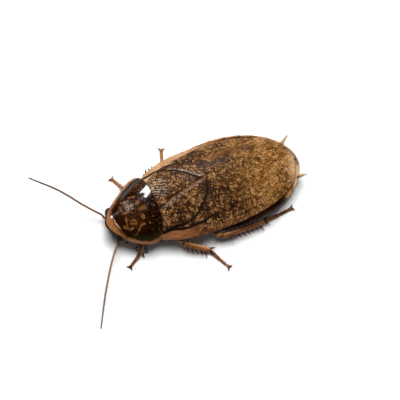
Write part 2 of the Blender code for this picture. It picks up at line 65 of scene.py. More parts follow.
# Pronotum, the shield over the head
SHIELD_FRONT = -14.36
SHIELD_WIDEST = -9.1
SHIELD_REAR = -7.57
SHIELD_HALF_WIDTH = 4.33
SHIELD_REAR_BOW = 0.004
SHIELD_FRONT_POWER = 1.1
SHIELD_FRONT_ROUND = 0.57
SHIELD_REAR_POWER = 4.0
SHIELD_SIDE_Z = 2.55
SHIELD_FRONT_Z = 3.36
SHIELD_RIDGE_Z = 5.03
SHIELD_REAR_Z = 4.85
SHIELD_RISE_START = -11.0
SHIELD_CORNER_RISE = 0.15
SHIELD_CENTRE_Y = -9.8
SHIELD_SPOKES = 360
SHIELD_LEVELS = 130
SHIELD_UNDER_LEVELS = 24
# How far its midline lies to the animal's left at its rear, its middle and its front
SHIELD_SHIFT = (-0.38, 0.33, 0.3)

# The sideways bow of the fore body
BOW = 0.65
BOW_START = 2.0
BOW_END = -14.2

# Folded fore wings
WING_HALF_WIDTH = 5.58
WING_TIP = 12.5
WING_SHOULDER_CURVE = 12.39
WING_TOP_Z = 5.3
WING_BASE_Z = 4.85
WING_TIP_Z = 3.5
WING_EDGE_Z = 3.2
WING_LAP = 1.1
WING_CREST_Y = -2.0
WING_SHELL = 0.14
WING_RIM = 0.05
WING_UNDERLAP = 0.35
WING_TUCK = 0.7
WING_FOLD = 0.85
WING_ROWS = 340
WING_COLUMNS = 130
WING_FOLD_COLUMNS = 8

# Abdomen
ABDOMEN_HALF_WIDTH = 5.95
ABDOMEN_WIDEST = 2.6
ABDOMEN_END = 13.4
ABDOMEN_TOP_Z = 4.1
ABDOMEN_RIM_Z = 2.55
BELLY_Z = 1.0
BELLY_LOWEST_Y = 5.5
SEGMENT_EDGES = (-0.9, 1.3, 3.3, 5.3, 7.3, 9.1, 10.7, 12.0)

# Head
CROWN = np.array((-0.28, -13.72, 2.59))
HEAD_LENGTH = 3.1
HEAD_SLOPE = math.radians(35.0)
HEAD_HALF_WIDTH = 1.95
HEAD_HALF_DEPTH = 0.82
HEAD_WIDEST = 0.34
HEAD_DEEPEST = 0.4

# Camera: turned by azimuth, elevation and roll about a point above the body's own origin
CAMERA_AZIMUTH = math.radians(33.0)
CAMERA_ELEVATION = math.radians(64.0)
CAMERA_ROLL = math.radians(35.0)
CAMERA_DISTANCE = 260.0
CAMERA_AIM = (0.0, 0.0, 3.0)
IMAGE_SIDE = 400
AIM_PIXEL = (206.8, 188.6)
PIXELS_PER_MM = 7.95
SENSOR = 36.0


def place(points):
    """Points of the body's frame, in millimetres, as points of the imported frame, in metres."""
    return (np.asarray(points, float) - ORIGIN) * MM


# Shape formulas, on arrays


def bow(y):
    """How far the body's middle swings to the left."""
    ahead = np.maximum(0.0, BOW_START - y) / (BOW_START - BOW_END)
    return BOW * ahead ** 2.1


def bowed(points):
    points = np.array(points, float)
    points[..., 0] += bow(points[..., 1])
    return points


def shield_shifted(points):
    """The shield sits turned a little on the body, so it has its own bow."""
    points = np.array(points, float)
    u = (points[..., 1] - SHIELD_REAR) / (SHIELD_FRONT - SHIELD_REAR)
    rear, middle, front = SHIELD_SHIFT
    points[..., 0] += rear * (1 - u) * (1 - 2 * u) + middle * 4 * u * (1 - u) + front * u * (2 * u - 1)
    return points


def ease(value, low, high):
    """0 at low and 1 at high, with a smooth step between them."""
    t = np.clip((value - low) / (high - low), 0.0, 1.0)
    return t * t * (3 - 2 * t)


def bell(value, width, power=2):
    return np.exp(-(value / width) ** power)


def window(value, start, full, fading, end):
    """1 from full to fading and 0 outside start and end, with smooth steps between them."""
    return ease(value, start, full) * ease(value, end, fading)


def signed_power(value, power):
    return np.sign(value) * np.abs(value) ** power


def xyz(x, y, z):
    return np.stack([x, y, z], axis=-1)


def unit(vectors):
    return vectors / np.maximum(1e-9, np.linalg.norm(vectors, axis=-1, keepdims=True))


def turns(count):
    """Angles evenly round a circle."""
    return 2 * np.pi * np.arange(count) / count


def shield_half_width(y):
    ahead = np.clip((SHIELD_WIDEST - y) / (SHIELD_WIDEST - SHIELD_FRONT), 0.0, 1.0)
    return SHIELD_HALF_WIDTH * np.maximum(1e-6, 1 - ahead ** SHIELD_FRONT_POWER) ** SHIELD_FRONT_ROUND


def shield_top(x, y):
    ahead = np.clip((SHIELD_WIDEST - y) / (SHIELD_WIDEST - SHIELD_FRONT), 0.0, 1.0)
    behind = np.maximum(0.0, (y - SHIELD_WIDEST) / (SHIELD_REAR - SHIELD_WIDEST))
    ridge = SHIELD_RIDGE_Z - (SHIELD_RIDGE_Z - SHIELD_FRONT_Z) * ahead ** 2.2
    ridge = ridge - (SHIELD_RIDGE_Z - SHIELD_REAR_Z) * behind ** 2
    towards_rear = np.clip((y - SHIELD_RISE_START) / (SHIELD_REAR - SHIELD_RISE_START), 0.0, 1.0)
    side = SHIELD_SIDE_Z + (SHIELD_FRONT_Z - SHIELD_SIDE_Z) * ahead ** 1.5
    side = side + SHIELD_CORNER_RISE * towards_rear ** 1.5
    across = np.minimum(1.0, np.abs(x) / shield_half_width(y))
    return side + (ridge - side) * (1 - across ** 2.6) ** 0.8


def wing_half_width(y):
    front = 1 - np.abs(y / WING_SHOULDER_CURVE) ** 2.9
    rear = np.maximum(0.0, 1 - np.abs(y / WING_TIP) ** 2.2) ** 0.42
    return WING_HALF_WIDTH * np.where(y < 0, front, rear)


def wing_edge_z(y):
    return WING_EDGE_Z - np.where(y < 0, 0.3 * (y / 7.6) ** 2, 0.2 * (y / WING_TIP) ** 2)


def wing_ridge_z(y):
    ahead = np.maximum(0.0, WING_CREST_Y - y) / (WING_CREST_Y - SHIELD_REAR)
    behind = np.maximum(0.0, y - WING_CREST_Y) / (WING_TIP - WING_CREST_Y)
    return WING_TOP_Z - (WING_TOP_Z - WING_BASE_Z) * ahead ** 2 - (WING_TOP_Z - WING_TIP_Z) * behind ** 2.2


def wing_top(x, y):
    across = np.minimum(1.0, np.abs(x) / np.maximum(0.05, wing_half_width(y)))
    edge = wing_edge_z(y)
    return edge + (wing_ridge_z(y) - edge) * (1 - across ** 2.2) ** 0.9


def wing_lap(y):
    """Where the inner margin of the left wing lies: it crosses the middle and swings back at the tail."""
    front = -WING_LAP + (WING_LAP + 0.55) * np.abs(np.minimum(y, 0.0) / -7.3) ** 1.2
    swing = np.sin(np.pi * np.clip(y / 13.4, 0.0, 1.0)) ** 0.9
    return np.where(y < 0, front, -WING_LAP - 0.95 * swing)


def wing_base_y(x):
    return SHIELD_REAR + 0.12 - SHIELD_REAR_BOW * x * x


def abdomen_half_width(y):
    front = 1 - ((y - ABDOMEN_WIDEST) / 14.0) ** 2
    along = np.maximum(0.0, y - ABDOMEN_WIDEST) / (ABDOMEN_END + 0.05 - ABDOMEN_WIDEST)
    rear = np.maximum(0.0, 1 - along ** 2.2) ** 0.55
    return ABDOMEN_HALF_WIDTH * np.where(y < ABDOMEN_WIDEST, front, rear)


def abdomen_side_z(y):
    return ABDOMEN_RIM_Z - 0.2 * np.maximum(0.0, y / ABDOMEN_END) ** 2


def abdomen_top(across, y):
    middle = np.minimum(ABDOMEN_TOP_Z, wing_ridge_z(y) - 0.85)
    return abdomen_side_z(y) + (middle - abdomen_side_z(y)) * (1 - across ** 2.2) ** 1.6


def abdomen_bottom(across, y):
    rise = np.where(y < BELLY_LOWEST_Y, 0.021, 0.0155)
    middle = BELLY_Z + rise * (y - BELLY_LOWEST_Y) ** 2
    return abdomen_side_z(y) - (abdomen_side_z(y) - middle) * (1 - across ** 2.6) ** 0.7


HEAD_ALONG = np.array((0.0, math.cos(HEAD_SLOPE), -math.sin(HEAD_SLOPE)))
HEAD_SIDE = np.array((1.0, 0.0, 0.0))
HEAD_REAR = np.cross(HEAD_SIDE, HEAD_ALONG)


def mirrored(points, sign):
    """Points on the head's left side, or on its right side where sign is -1."""
    points = np.array(points, float)
    points[..., 0] = CROWN[0] + (points[..., 0] - CROWN[0]) * sign
    return points


def head_profile(s):
    """Half width and half depth at a share of the head's length from its crown."""
    narrow = np.maximum(0.0, HEAD_WIDEST - s) / (HEAD_WIDEST + 0.02)
    taper = np.maximum(0.0, s - HEAD_WIDEST) / (1 - HEAD_WIDEST)
    width = np.where(s < HEAD_WIDEST, np.sqrt(1 - narrow ** 2), 1 - 0.62 * taper ** 1.3)
    thin = np.maximum(0.0, HEAD_DEEPEST - s) / (HEAD_DEEPEST + 0.02)
    taper = np.maximum(0.0, s - HEAD_DEEPEST) / (1 - HEAD_DEEPEST)
    depth = np.where(s < HEAD_DEEPEST, np.sqrt(1 - thin ** 2), 1 - 0.55 * taper ** 1.6)
    return HEAD_HALF_WIDTH * width, HEAD_HALF_DEPTH * depth


def head_point(s, angle, lift=0.0):
    """Points of the head's surface: angle 0 is its left side and 90 degrees its upper rear."""
    s, angle, lift = np.broadcast_arrays(s, angle, lift)
    width, depth = head_profile(s)
    across = (width + lift) * signed_power(np.cos(angle), 0.9)
    back = (depth + lift) * signed_power(np.sin(angle), 0.9)
    centre = CROWN + s[..., None] * HEAD_LENGTH * HEAD_ALONG
    return centre + across[..., None] * HEAD_SIDE + back[..., None] * HEAD_REAR


def smooth_path(stops, count):
    """Points spread along a Catmull-Rom curve through the stops."""
    stops = np.array(stops, float)
    padded = np.vstack([2 * stops[0] - stops[1], stops, 2 * stops[-1] - stops[-2]])
    at = np.linspace(0, len(stops) - 1, count)
    i = np.minimum(at.astype(int), len(stops) - 2)
    t = (at - i)[:, None]
    a, b, c, d = (padded[i + k] for k in range(4))
    bend = (2 * a - 5 * b + 4 * c - d) * t ** 2 + (3 * b - a - 3 * c + d) * t ** 3
    return 0.5 * (2 * b + (c - a) * t + bend)


def line_distance(x, y, stops):
    """Distance from points of the plane to a line through the stops."""
    best = np.full(np.shape(x), 1e9)
    for (ax, ay), (bx, by) in zip(stops, stops[1:]):
        dx, dy = bx - ax, by - ay
        t = np.clip(((x - ax) * dx + (y - ay) * dy) / (dx * dx + dy * dy), 0.0, 1.0)
        best = np.minimum(best, np.hypot(x - ax - t * dx, y - ay - t * dy))
    return best


# Meshes


def add_object(name, data):
    obj = bpy.data.objects.new(name, data)
    bpy.context.scene.collection.objects.link(obj)
    return obj


class Surface:
    """Gathers the sheets and tubes of one piece, with the values that its material reads."""

    def __init__(self):
        self.points, self.faces, self.values, self.count = [], [], [], 0

    def grid(self, points, wrap=False, flip=False, **values):
        """A sheet of rows and columns, whose columns may run round."""
        rows, columns = points.shape[:2]
        a = self.count + np.arange(rows * columns).reshape(rows, columns)
        right = np.roll(a, -1, axis=1)
        last = columns if wrap else columns - 1
        quads = np.stack([a[:-1, :last], right[:-1, :last], right[1:, :last], a[1:, :last]], axis=-1)
        quads = quads.reshape(-1, 4)
        self.faces += (quads[:, ::-1] if flip else quads).tolist()
        self.points.append(points.reshape(-1, 3))
        self.values.append((rows * columns, {
            key: np.broadcast_to(value, (rows, columns) + np.shape(value)[2:]).reshape(rows * columns, -1)
            for key, value in values.items()
        }))
        self.count += rows * columns

    def cap(self, start, columns, flip=False):
        """One face over a ring of points."""
        ring = range(start, start + columns)
        self.faces.append(tuple(reversed(ring) if flip else ring))

    def tube(self, rings, **values):
        """A tube through rings, closed at both ends."""
        rows, columns = rings.shape[:2]
        start = self.count
        self.grid(rings, wrap=True, flip=True, **values)
        self.cap(start, columns)
        self.cap(start + (rows - 1) * columns, columns, flip=True)

    def rod(self, path, widths, heights, sides=24, up=(0.0, 0.0, 1.0), grounded=False, **values):
        """A tube round a path. A value is one number or one for each point of the path."""
        rings = rings_along(path, widths, heights, sides, up)
        if grounded:
            rings[..., 2] = np.maximum(rings[..., 2], 0.0)
        values = {k: v if np.ndim(v) == 2 else np.reshape(v, (-1, 1)) for k, v in values.items()}
        self.tube(rings, lay=rings, **values)

    def piece(self, name, material, nodes):
        """Makes the object, which stands for the CAD nodes."""
        mesh = bpy.data.meshes.new(name)
        mesh.from_pydata(place(np.vstack(self.points)).tolist(), [], self.faces)
        for key in sorted({k for _, values in self.values for k in values}):
            size = max(values[key].shape[1] for _, values in self.values if key in values)
            rows = [np.broadcast_to(values.get(key, 0.0), (n, size)) for n, values in self.values]
            kind, field = ("FLOAT_VECTOR", "vector") if size == 3 else ("FLOAT", "value")
            data = np.vstack(rows).astype(np.float32)
            mesh.attributes.new(key, kind, "POINT").data.foreach_set(field, data.ravel())
        mesh.materials.append(material)
        mesh.shade_smooth()
        mesh.update()
        obj = add_object(name, mesh)
        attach(obj, "root")
        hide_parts(*nodes)


def rings_along(path, widths, heights, sides, up=(0.0, 0.0, 1.0)):
    """Rings square to a path. Widths and heights are half sizes, one for each point of the path."""
    path = np.asarray(path, float)
    ahead = unit(np.gradient(path, axis=0))
    side = unit(np.cross(ahead, up))
    rise = np.cross(side, ahead)
    angle = turns(sides)
    widths, heights = np.broadcast_to(widths, len(path)), np.broadcast_to(heights, len(path))
    return (path[:, None] + side[:, None] * (widths[:, None] * np.cos(angle))[..., None]
            + rise[:, None] * (heights[:, None] * np.sin(angle))[..., None])


def round_ends(count, start, end):
    """Factors along a limb that close it in round ends, over these shares of its length."""
    t = np.linspace(0, 1, count)
    low = np.sqrt(np.clip(1 - ((start - t) / start).clip(0, 1) ** 2, 0.0025, 1))
    high = np.sqrt(np.clip(1 - ((t - 1 + end) / end).clip(0, 1) ** 2, 0.0025, 1))
    return low * high


def thin_plate(surface, top, thickness, **values):
    """A sheet with its underside and rim: thickness may vary over the sheet."""
    normal = unit(np.cross(np.gradient(top, axis=1), np.gradient(top, axis=0)))
    normal *= np.sign(normal[..., 2:3].mean())
    under = top - normal * thickness[..., None]
    upward = np.cross(top[1, 0] - top[0, 0], top[0, 1] - top[0, 0])[2] > 0
    start = surface.count
    surface.grid(top, flip=upward, **values)
    surface.grid(under, flip=not upward, **values)
    rows, columns = top.shape[:2]
    half = rows * columns
    a = start + np.arange(half).reshape(rows, columns)
    loop = [*a[0, :-1], *a[:-1, -1], *a[-1, :0:-1], *a[:0:-1, 0]]
    for i, j in zip(loop, loop[1:] + loop[:1]):
        quad = (i, j, j + half, i + half)
        surface.faces.append(quad if upward else quad[::-1])


# Materials


class Paint:
    """A node material round one Principled shader. Its colour is built up in layers."""

    SOCKETS = {
        "roughness": "Roughness",
        "specular": "Specular IOR Level",
        "coat": "Coat Weight",
        "coat_roughness": "Coat Roughness",
    }

    def __init__(self, name, **gloss):
        self.material = bpy.data.materials.new(name)
        self.material.use_nodes = True
        self.tree = self.material.node_tree
        self.shader = self.tree.nodes["Principled BSDF"]
        self.colour = None
        self.gloss(**gloss)

    def set(self, socket, value):
        if isinstance(value, bpy.types.NodeSocket):
            self.tree.links.new(value, socket)
        elif isinstance(value, tuple) and len(socket.default_value) == 4:
            socket.default_value = (*value, 1.0)
        else:
            socket.default_value = value

    def gloss(self, **values):
        for key, value in values.items():
            self.set(self.shader.inputs[self.SOCKETS[key]], value)

    def node(self, kind, output, settings, inputs):
        """An output of a new node, whose inputs are given by name or number."""
        made = self.tree.nodes.new("ShaderNode" + kind)
        for key, value in settings.items():
            setattr(made, key, value)
        for key, value in inputs.items():
            self.set(made.inputs[key], value)
        return made.outputs[output]

    def read(self, name, output="Fac"):
        return self.node("Attribute", output, {"attribute_name": name}, {})

    def times(self, a, b):
        return self.node("Math", 0, {"operation": "MULTIPLY"}, {0: a, 1: b})

    def plus(self, first, *others):
        for other in others:
            first = self.node("Math", 0, {"operation": "ADD"}, {0: first, 1: other})
        return first

    def step(self, value, low, high):
        """0 below low and 1 above high, or the other way round where low is the greater."""
        turned = low > high
        inputs = {
            "Value": value,
            "From Min": min(low, high),
            "From Max": max(low, high),
            "To Min": float(turned),
            "To Max": float(not turned),
        }
        return self.node("MapRange", "Result", {"interpolation_type": "SMOOTHSTEP"}, inputs)

    def ramp(self, value, low, high):
        """A value from 0 to 1 as a number between low and high."""
        return self.node("MapRange", "Result", {}, {"Value": value, "To Min": low, "To Max": high})

    def mix(self, factor, a, b):
        return self.node("Mix", "Result", {"data_type": "RGBA"}, {"Factor": factor, "A": a, "B": b})

    def grade(self, value, low, high, a, b):
        """Colour a where the value is below low, and b where it is above high."""
        return self.mix(self.step(value, low, high), a, b)

    def cover(self, factor, colour, amount=1.0):
        """Lays a colour over what is there, by a factor or the name of one that the mesh holds."""
        if isinstance(factor, str):
            factor = self.read(factor)
        if amount != 1.0:
            factor = self.times(factor, amount)
        self.colour = self.mix(factor, self.colour, colour)

    def stretch(self, vector, scale):
        return self.node("VectorMath", 0, {"operation": "MULTIPLY"}, {0: vector, 1: scale})

    def noise(self, vector, scale, detail=3.0, roughness=0.55, output=0):
        inputs = {"Vector": vector, "Scale": scale, "Detail": detail, "Roughness": roughness}
        return self.node("TexNoise", output, {}, inputs)

    def warp(self, vector, scale, amount):
        """The vector, shifted about by noise."""
        shift = self.noise(vector, scale, 2.0, 0.5, "Color")
        inputs = {0: shift, 1: (amount, amount, amount), 2: vector}
        return self.node("VectorMath", 0, {"operation": "MULTIPLY_ADD"}, inputs)

    def cells(self, vector, scale, feature="F1", output="Distance"):
        return self.node("TexVoronoi", output, {"feature": feature}, {"Vector": vector, "Scale": scale})

    def finish(self, *bumps):
        """The material, with stacked bumps of (height from 0 to 1, depth in millimetres)."""
        self.set(self.shader.inputs["Base Color"], self.colour)
        below = {}
        for height, depth in bumps:
            normal = self.node("Bump", "Normal", {}, {"Distance": depth * MM, "Height": height, **below})
            below = {"Normal": normal}
            self.set(self.shader.inputs["Normal"], normal)
        return self.material


def shield_paint():
    """Glossy dark chocolate with pale lines and spots, a tan hood and tan side margins, painted shade on the
    left side margin and painted highlights along the hood and near the front.
    """
    p = Paint("shield_shell", coat_roughness=0.04)
    lay = p.read("lay", "Vector")
    fine = p.noise(lay, 5.0, 4.0, 0.65)
    grit = p.noise(lay, 9.0, 4.0, 0.7)
    reddish = p.read("reddish")
    flank = p.read("flank")
    p.colour = p.grade(p.noise(lay, 0.9), 0.40, 0.66, (0.006, 0.0016, 0.0004), (0.014, 0.004, 0.0008))
    p.cover(reddish, p.grade(fine, 0.36, 0.66, (0.009, 0.003, 0.001), (0.060, 0.016, 0.003)))
    pale = p.grade(grit, 0.35, 0.65, (0.055, 0.018, 0.004), (0.29, 0.120, 0.034))
    ragged = p.plus(p.read("marks"), p.times(p.plus(fine, -0.5), 0.8))
    p.cover(p.step(ragged, 0.07, -0.07), pale)
    p.cover(p.times(p.read("blot"), p.step(fine, 0.3, 0.62)), pale)
    crumbs = p.step(p.noise(lay, 3.0, 4.0, 0.75), 0.56, 0.63)
    p.cover(p.times(crumbs, reddish), pale, 0.5)
    dots = p.times(p.step(p.cells(p.warp(lay, 2.0, 0.4), 3.8), 0.34, 0.16), p.read("rear_dots"))
    p.cover(dots, p.grade(grit, 0.35, 0.65, (0.020, 0.010, 0.002), (0.20, 0.12, 0.040)), 0.85)
    p.cover("spots", p.grade(grit, 0.35, 0.65, (0.07, 0.024, 0.007), (0.22, 0.095, 0.038)))
    p.cover("olive", p.mix(fine, (0.006, 0.004, 0.0005), (0.028, 0.020, 0.004)), 0.92)
    tan = p.grade(fine, 0.3, 0.7, (0.22, 0.082, 0.024), (0.36, 0.16, 0.062))
    # The hood's rear is darker brown, and the left side margin is darkened as painted shade
    tan = p.mix(p.read("hood_rear"), tan, (0.085, 0.024, 0.005))
    tan = p.mix(p.read("rim"), tan, (0.34, 0.155, 0.066))
    p.cover("margin", tan)
    p.cover("rear_edge", (0.075, 0.032, 0.010))
    # A pale line along the hood's inner edge: a painted highlight
    p.cover(p.times(p.read("edge_line"), p.step(fine, 0.30, 0.55)), (0.72, 0.52, 0.36))
    p.cover("under", (0.020, 0.006, 0.002))
    # Pale dots in a patch near the front: a painted highlight, where the top softbox is mirrored
    painted_highlight = p.times(p.step(p.noise(lay, 6.0, 3.0, 0.6), 0.46, 0.62), p.read("mottled"))
    p.cover(painted_highlight, (0.55, 0.40, 0.30), 0.6)
    p.gloss(coat=p.ramp(flank, 0.45, 0.0), specular=p.ramp(flank, 0.15, 0.03))
    p.gloss(roughness=p.ramp(fine, 0.08, 0.26))
    return p.finish((p.noise(lay, 1.8, 2.0), 0.014), (grit, 0.008), (painted_highlight, 0.03), (dots, 0.012))


# Pale flecks of the wings, the small and the large ones: cells for each millimetre, how much the grit
# frays them, between which values a fleck ends, how many cells have one, strength, and two colours
WING_FLECKS = (
    (2.4, 0.4, (0.46, 0.38), (0.44, 0.48), 0.95, (0.46, 0.23, 0.085), (0.88, 0.54, 0.26)),
    (1.3, 0.5, (0.48, 0.40), (0.45, 0.55), 0.75, (0.34, 0.15, 0.045), (0.62, 0.36, 0.16)),
)


def wing_paint():
    """Satin olive-brown leather of a fore wing: dark net, pale flecks, paler and fibrous to the rear, with
    painted sheen, painted light on the right wing's margin and painted shade on the folded margin.
    """
    p = Paint("wing_leather", coat_roughness=0.2, specular=0.05)
    lay = p.read("lay", "Vector")
    rear = p.read("rear")
    warped = p.warp(lay, 3.0, 0.7)
    squat = p.stretch(warped, (1.0, 0.8, 1.0))
    net = p.cells(squat, 4.2, "DISTANCE_TO_EDGE")
    drift = p.plus(p.noise(lay, 0.45, 3.0, 0.6), -0.5)
    fibre = p.noise(p.stretch(p.read("grain", "Vector"), (6.0, 0.9, 1.0)), 1.0, 3.0, 0.6)
    grit = p.noise(lay, 7.6, 4.0, 0.75)
    sand = p.noise(lay, 8.5, 2.0, 0.6)
    cell = p.cells(squat, 4.2, output="Color")
    tone = p.plus(p.times(cell, 0.45), p.times(grit, 1.2), -0.34, p.times(drift, 0.5))
    front = p.grade(tone, 0.36, 0.52, (0.009, 0.003, 0.0006), (0.105, 0.036, 0.006))
    front = p.mix(p.step(tone, 0.585, 0.66), front, (0.60, 0.30, 0.115))
    back = p.grade(tone, 0.30, 0.50, (0.042, 0.014, 0.002), (0.29, 0.118, 0.021))
    back = p.mix(p.step(tone, 0.57, 0.68), back, (0.66, 0.37, 0.145))
    p.colour = p.grade(p.plus(rear, p.times(drift, 0.9)), 0.1, 0.85, front, back)
    p.cover(p.step(fibre, 0.56, 0.70), (0.32, 0.13, 0.030), 0.3)
    p.cover(p.step(fibre, 0.45, 0.32), (0.030, 0.010, 0.001), 0.45)
    for scale, fray, edge, chosen, amount, dim, bright in WING_FLECKS:
        fleck = p.step(p.plus(p.cells(warped, scale), p.times(grit, fray)), *edge)
        fleck = p.times(fleck, p.step(p.cells(warped, scale, output="Color"), *chosen))
        p.cover(fleck, p.mix(sand, dim, bright), amount)
    p.cover(p.times(p.step(net, 0.17, 0.03), p.step(rear, 1.1, 0.1)), (0.009, 0.003, 0.001), 0.6)
    p.cover("shade", (0.016, 0.006, 0.001), 0.7)
    p.cover(p.times(p.read("red"), p.step(tone, 0.3, 0.6)), (0.26, 0.080, 0.014))
    band = p.grade(fibre, 0.3, 0.7, (0.22, 0.078, 0.024), (0.38, 0.165, 0.068))
    band = p.mix(p.times(p.step(tone, 0.40, 0.56), p.read("amber")), band, (0.20, 0.052, 0.006))
    p.cover("costal", band)
    # Cream of the tip, and on the right wing's margin painted light
    p.cover("cream", p.grade(tone, 0.35, 0.65, (0.46, 0.235, 0.095), (0.70, 0.45, 0.25)))
    # Pale stripes of painted sheen, where the wings mirror the softboxes; the coat there is real gloss
    silver = p.times(p.read("silver"), p.step(sand, 0.46, 0.60))
    p.cover(silver, (0.80, 0.67, 0.53))
    p.cover("furrow", (0.004, 0.002, 0.001))
    # Painted shade on the folded margin
    p.cover("under", (0.030, 0.009, 0.002))
    p.gloss(coat=p.ramp(silver, 0.02, 0.5), roughness=p.ramp(grit, 0.30, 0.66))
    return p.finish((p.step(net, 0.0, 0.3), 0.04), (fibre, 0.02), (tone, 0.035))


def plate_paint():
    """Abdomen plates: nearly black flanks, tan upper rims with dark front corners; where a rim gets no tan it
    stays dark as painted shade.
    """
    p = Paint("abdomen_plates", roughness=0.42)
    lay = p.read("lay", "Vector")
    upper = p.read("upper")
    fine = p.noise(lay, 5.0, 4.0, 0.65)
    flecks = p.noise(lay, 6.0, 4.0, 0.75)
    p.colour = p.grade(p.noise(lay, 0.8, 2.0), 0.35, 0.7, (0.008, 0.003, 0.002), (0.028, 0.009, 0.005))
    p.cover("belly", p.mix(fine, (0.04, 0.014, 0.005), (0.11, 0.040, 0.013)))
    tan = p.grade(flecks, 0.38, 0.52, (0.22, 0.085, 0.020), (0.38, 0.17, 0.045))
    # Tan upper rims, painted only on the lit right side and the tail; the left rim stays dark as painted
    # shade
    p.cover(upper, p.mix(p.step(flecks, 0.52, 0.64), tan, (0.62, 0.34, 0.125)))
    p.cover("hind_edge", (0.13, 0.055, 0.02), 0.6)
    p.cover("cream", p.mix(fine, (0.40, 0.22, 0.10), (0.66, 0.46, 0.26)))
    p.cover("grey", p.mix(fine, (0.10, 0.055, 0.028), (0.34, 0.22, 0.13)))
    p.cover("corner", (0.012, 0.004, 0.001))
    p.gloss(specular=p.ramp(upper, 0.12, 0.01))
    return p.finish((fine, 0.02), (p.cells(lay, 9.0), 0.006))


def limb_paint():
    """Amber horn of legs and palps, with a painted highlight along one side, dark joints and nearly black
    spines.
    """
    p = Paint("limb_horn", roughness=0.3, coat=0.15, coat_roughness=0.12, specular=0.25)
    lay = p.read("lay", "Vector")
    dark = p.read("dark")
    fine = p.noise(lay, 7.0, 3.0, 0.6)
    streak = p.noise(p.stretch(lay, (1.6, 1.0, 1.6)), 1.8, 3.0, 0.6)
    p.colour = p.grade(streak, 0.35, 0.65, (0.11, 0.026, 0.004), (0.32, 0.105, 0.022))
    # A pale stripe along one side of a leg segment: a painted highlight
    p.cover("ridge", p.mix(fine, (0.42, 0.16, 0.045), (0.90, 0.52, 0.25)), 0.75)
    # Where dark is less than 0 the horn is pale
    p.cover(dark, (0.62, 0.30, 0.075), -1.0)
    p.cover(p.step(fine, 0.52, 0.72), (0.09, 0.024, 0.004), 0.45)
    p.cover(dark, (0.022, 0.006, 0.001))
    return p.finish((fine, 0.015))


def feeler_paint():
    """Ringed horn of the feelers and the tail feelers, darker towards the tip."""
    p = Paint("feeler_rings", roughness=0.5, specular=0.25)
    fine = p.noise(p.read("lay", "Vector"), 9.0)
    p.colour = p.mix(p.read("along"), (0.30, 0.145, 0.055), (0.10, 0.052, 0.028))
    p.cover("pale", p.mix(fine, (0.42, 0.20, 0.075), (0.66, 0.38, 0.17)))
    p.cover(p.step(fine, 0.45, 0.7), (0.09, 0.034, 0.010), 0.4)
    p.cover("dark", (0.030, 0.011, 0.004))
    return p.finish((fine, 0.01))


def head_paint():
    """Smooth dark brown horn, pale on the lip and round the feelers' sockets."""
    p = Paint("head_horn", roughness=0.26, coat=0.03, coat_roughness=0.08, specular=0.05)
    lay = p.read("lay", "Vector")
    fine = p.noise(lay, 6.0, 3.0, 0.6)
    wide = p.noise(lay, 1.3, 2.0)
    p.colour = p.grade(wide, 0.35, 0.7, (0.008, 0.003, 0.001), (0.034, 0.011, 0.004))
    p.cover("pale", p.mix(fine, (0.26, 0.12, 0.045), (0.42, 0.23, 0.10)))
    return p.finish((fine, 0.012), (wide, 0.02))


def eye_paint():
    """Black facets, with finer lines between them."""
    p = Paint("eye_facets", roughness=0.2, coat=0.04, coat_roughness=0.06, specular=0.08)
    facets = p.cells(p.read("lay", "Vector"), 22.0, "DISTANCE_TO_EDGE")
    p.colour = p.grade(facets, 0.02, 0.2, (0.002, 0.0015, 0.001), (0.012, 0.007, 0.004))
    return p.finish((p.step(facets, 0.0, 0.4), 0.012))


def skin_paint():
    """Soft amber-brown skin between the shell plates."""
    p = Paint("thorax_skin", roughness=0.45)
    lay = p.read("lay", "Vector")
    fine = p.noise(lay, 5.0, 4.0, 0.65)
    p.colour = p.grade(p.noise(lay, 0.9, 2.0), 0.3, 0.7, (0.10, 0.042, 0.015), (0.23, 0.11, 0.045))
    p.cover(p.step(fine, 0.5, 0.75), (0.05, 0.02, 0.008), 0.5)
    return p.finish((fine, 0.03))


# Pieces


def wobble(x, y, size, length):
    """A small smooth shift of the plane that makes drawn markings irregular."""
    k = 2 * np.pi / length
    dx = np.sin(k * y + 1.7) + 0.6 * np.sin(1.9 * k * (x + 0.4 * y) + 0.3)
    dy = np.sin(k * x * 1.1 + 0.6) + 0.6 * np.sin(2.1 * k * (y - 0.3 * x) + 2.1)
    return x + size * dx, y + size * dy


# Pale lines of the shield in its own plane, each with its half width
SHIELD_LINES = (
    (((-1.45, -12.1), (-1.05, -12.13), (-0.57, -12.14), (-0.34, -11.97), (-0.43, -11.58),
      (-0.56, -11.39)), 0.07),
    (((-1.8, -11.75), (-1.8, -11.34)), 0.07),
    (((-2.1, -10.68), (-1.89, -10.36), (-1.89, -9.98)), 0.09),
    (((-1.1, -11.3), (-1.2, -10.9), (-0.85, -10.75)), 0.06),
    (((0.11, -11.95), (0.7, -12.19), (1.16, -12.22)), 0.06),
    (((1.08, -12.61), (1.7, -11.93), (1.66, -11.57)), 0.07),
    (((0.85, -11.63), (0.82, -11.27), (1.19, -11.07), (1.32, -11.19), (1.13, -11.67)), 0.09),
    (((1.87, -10.15), (1.8, -10.49), (1.94, -10.82), (2.19, -11.07), (2.42, -11.17), (2.48, -11.45)), 0.09),
    (((2.05, -9.46), (2.09, -9.43)), 0.07),
)
SHIELD_SPOTS = (((-0.83, -10.1), (-0.97, -9.82)), ((0.85, -10.06), (1.1, -9.98)))
SHIELD_BLOT = ((-0.05, -9.95), (-0.05, -9.5), (0.2, -9.3))
# Where the tan hood ends to the rear, and where the tan side margin behind it ends towards the middle
MARGIN_START = -12.42
HOOD_INNER = (
    (-2.5, -12.0), (-1.9, -12.6), (-1.7, -12.87), (-1.4, -13.1), (-1.05, -13.23), (-0.53, -13.33),
    (0.08, -13.3), (0.69, -13.22), (1.24, -13.01), (1.7, -12.82), (2.2, MARGIN_START),
)
MARGIN_INNER = (
    (2.2, MARGIN_START), (2.86, -11.56), (3.2, -11.07), (3.49, -10.51), (3.77, -9.86), (3.97, -9.26),
    (4.01, -8.63), (3.91, -8.0), (3.8, -7.5),
)


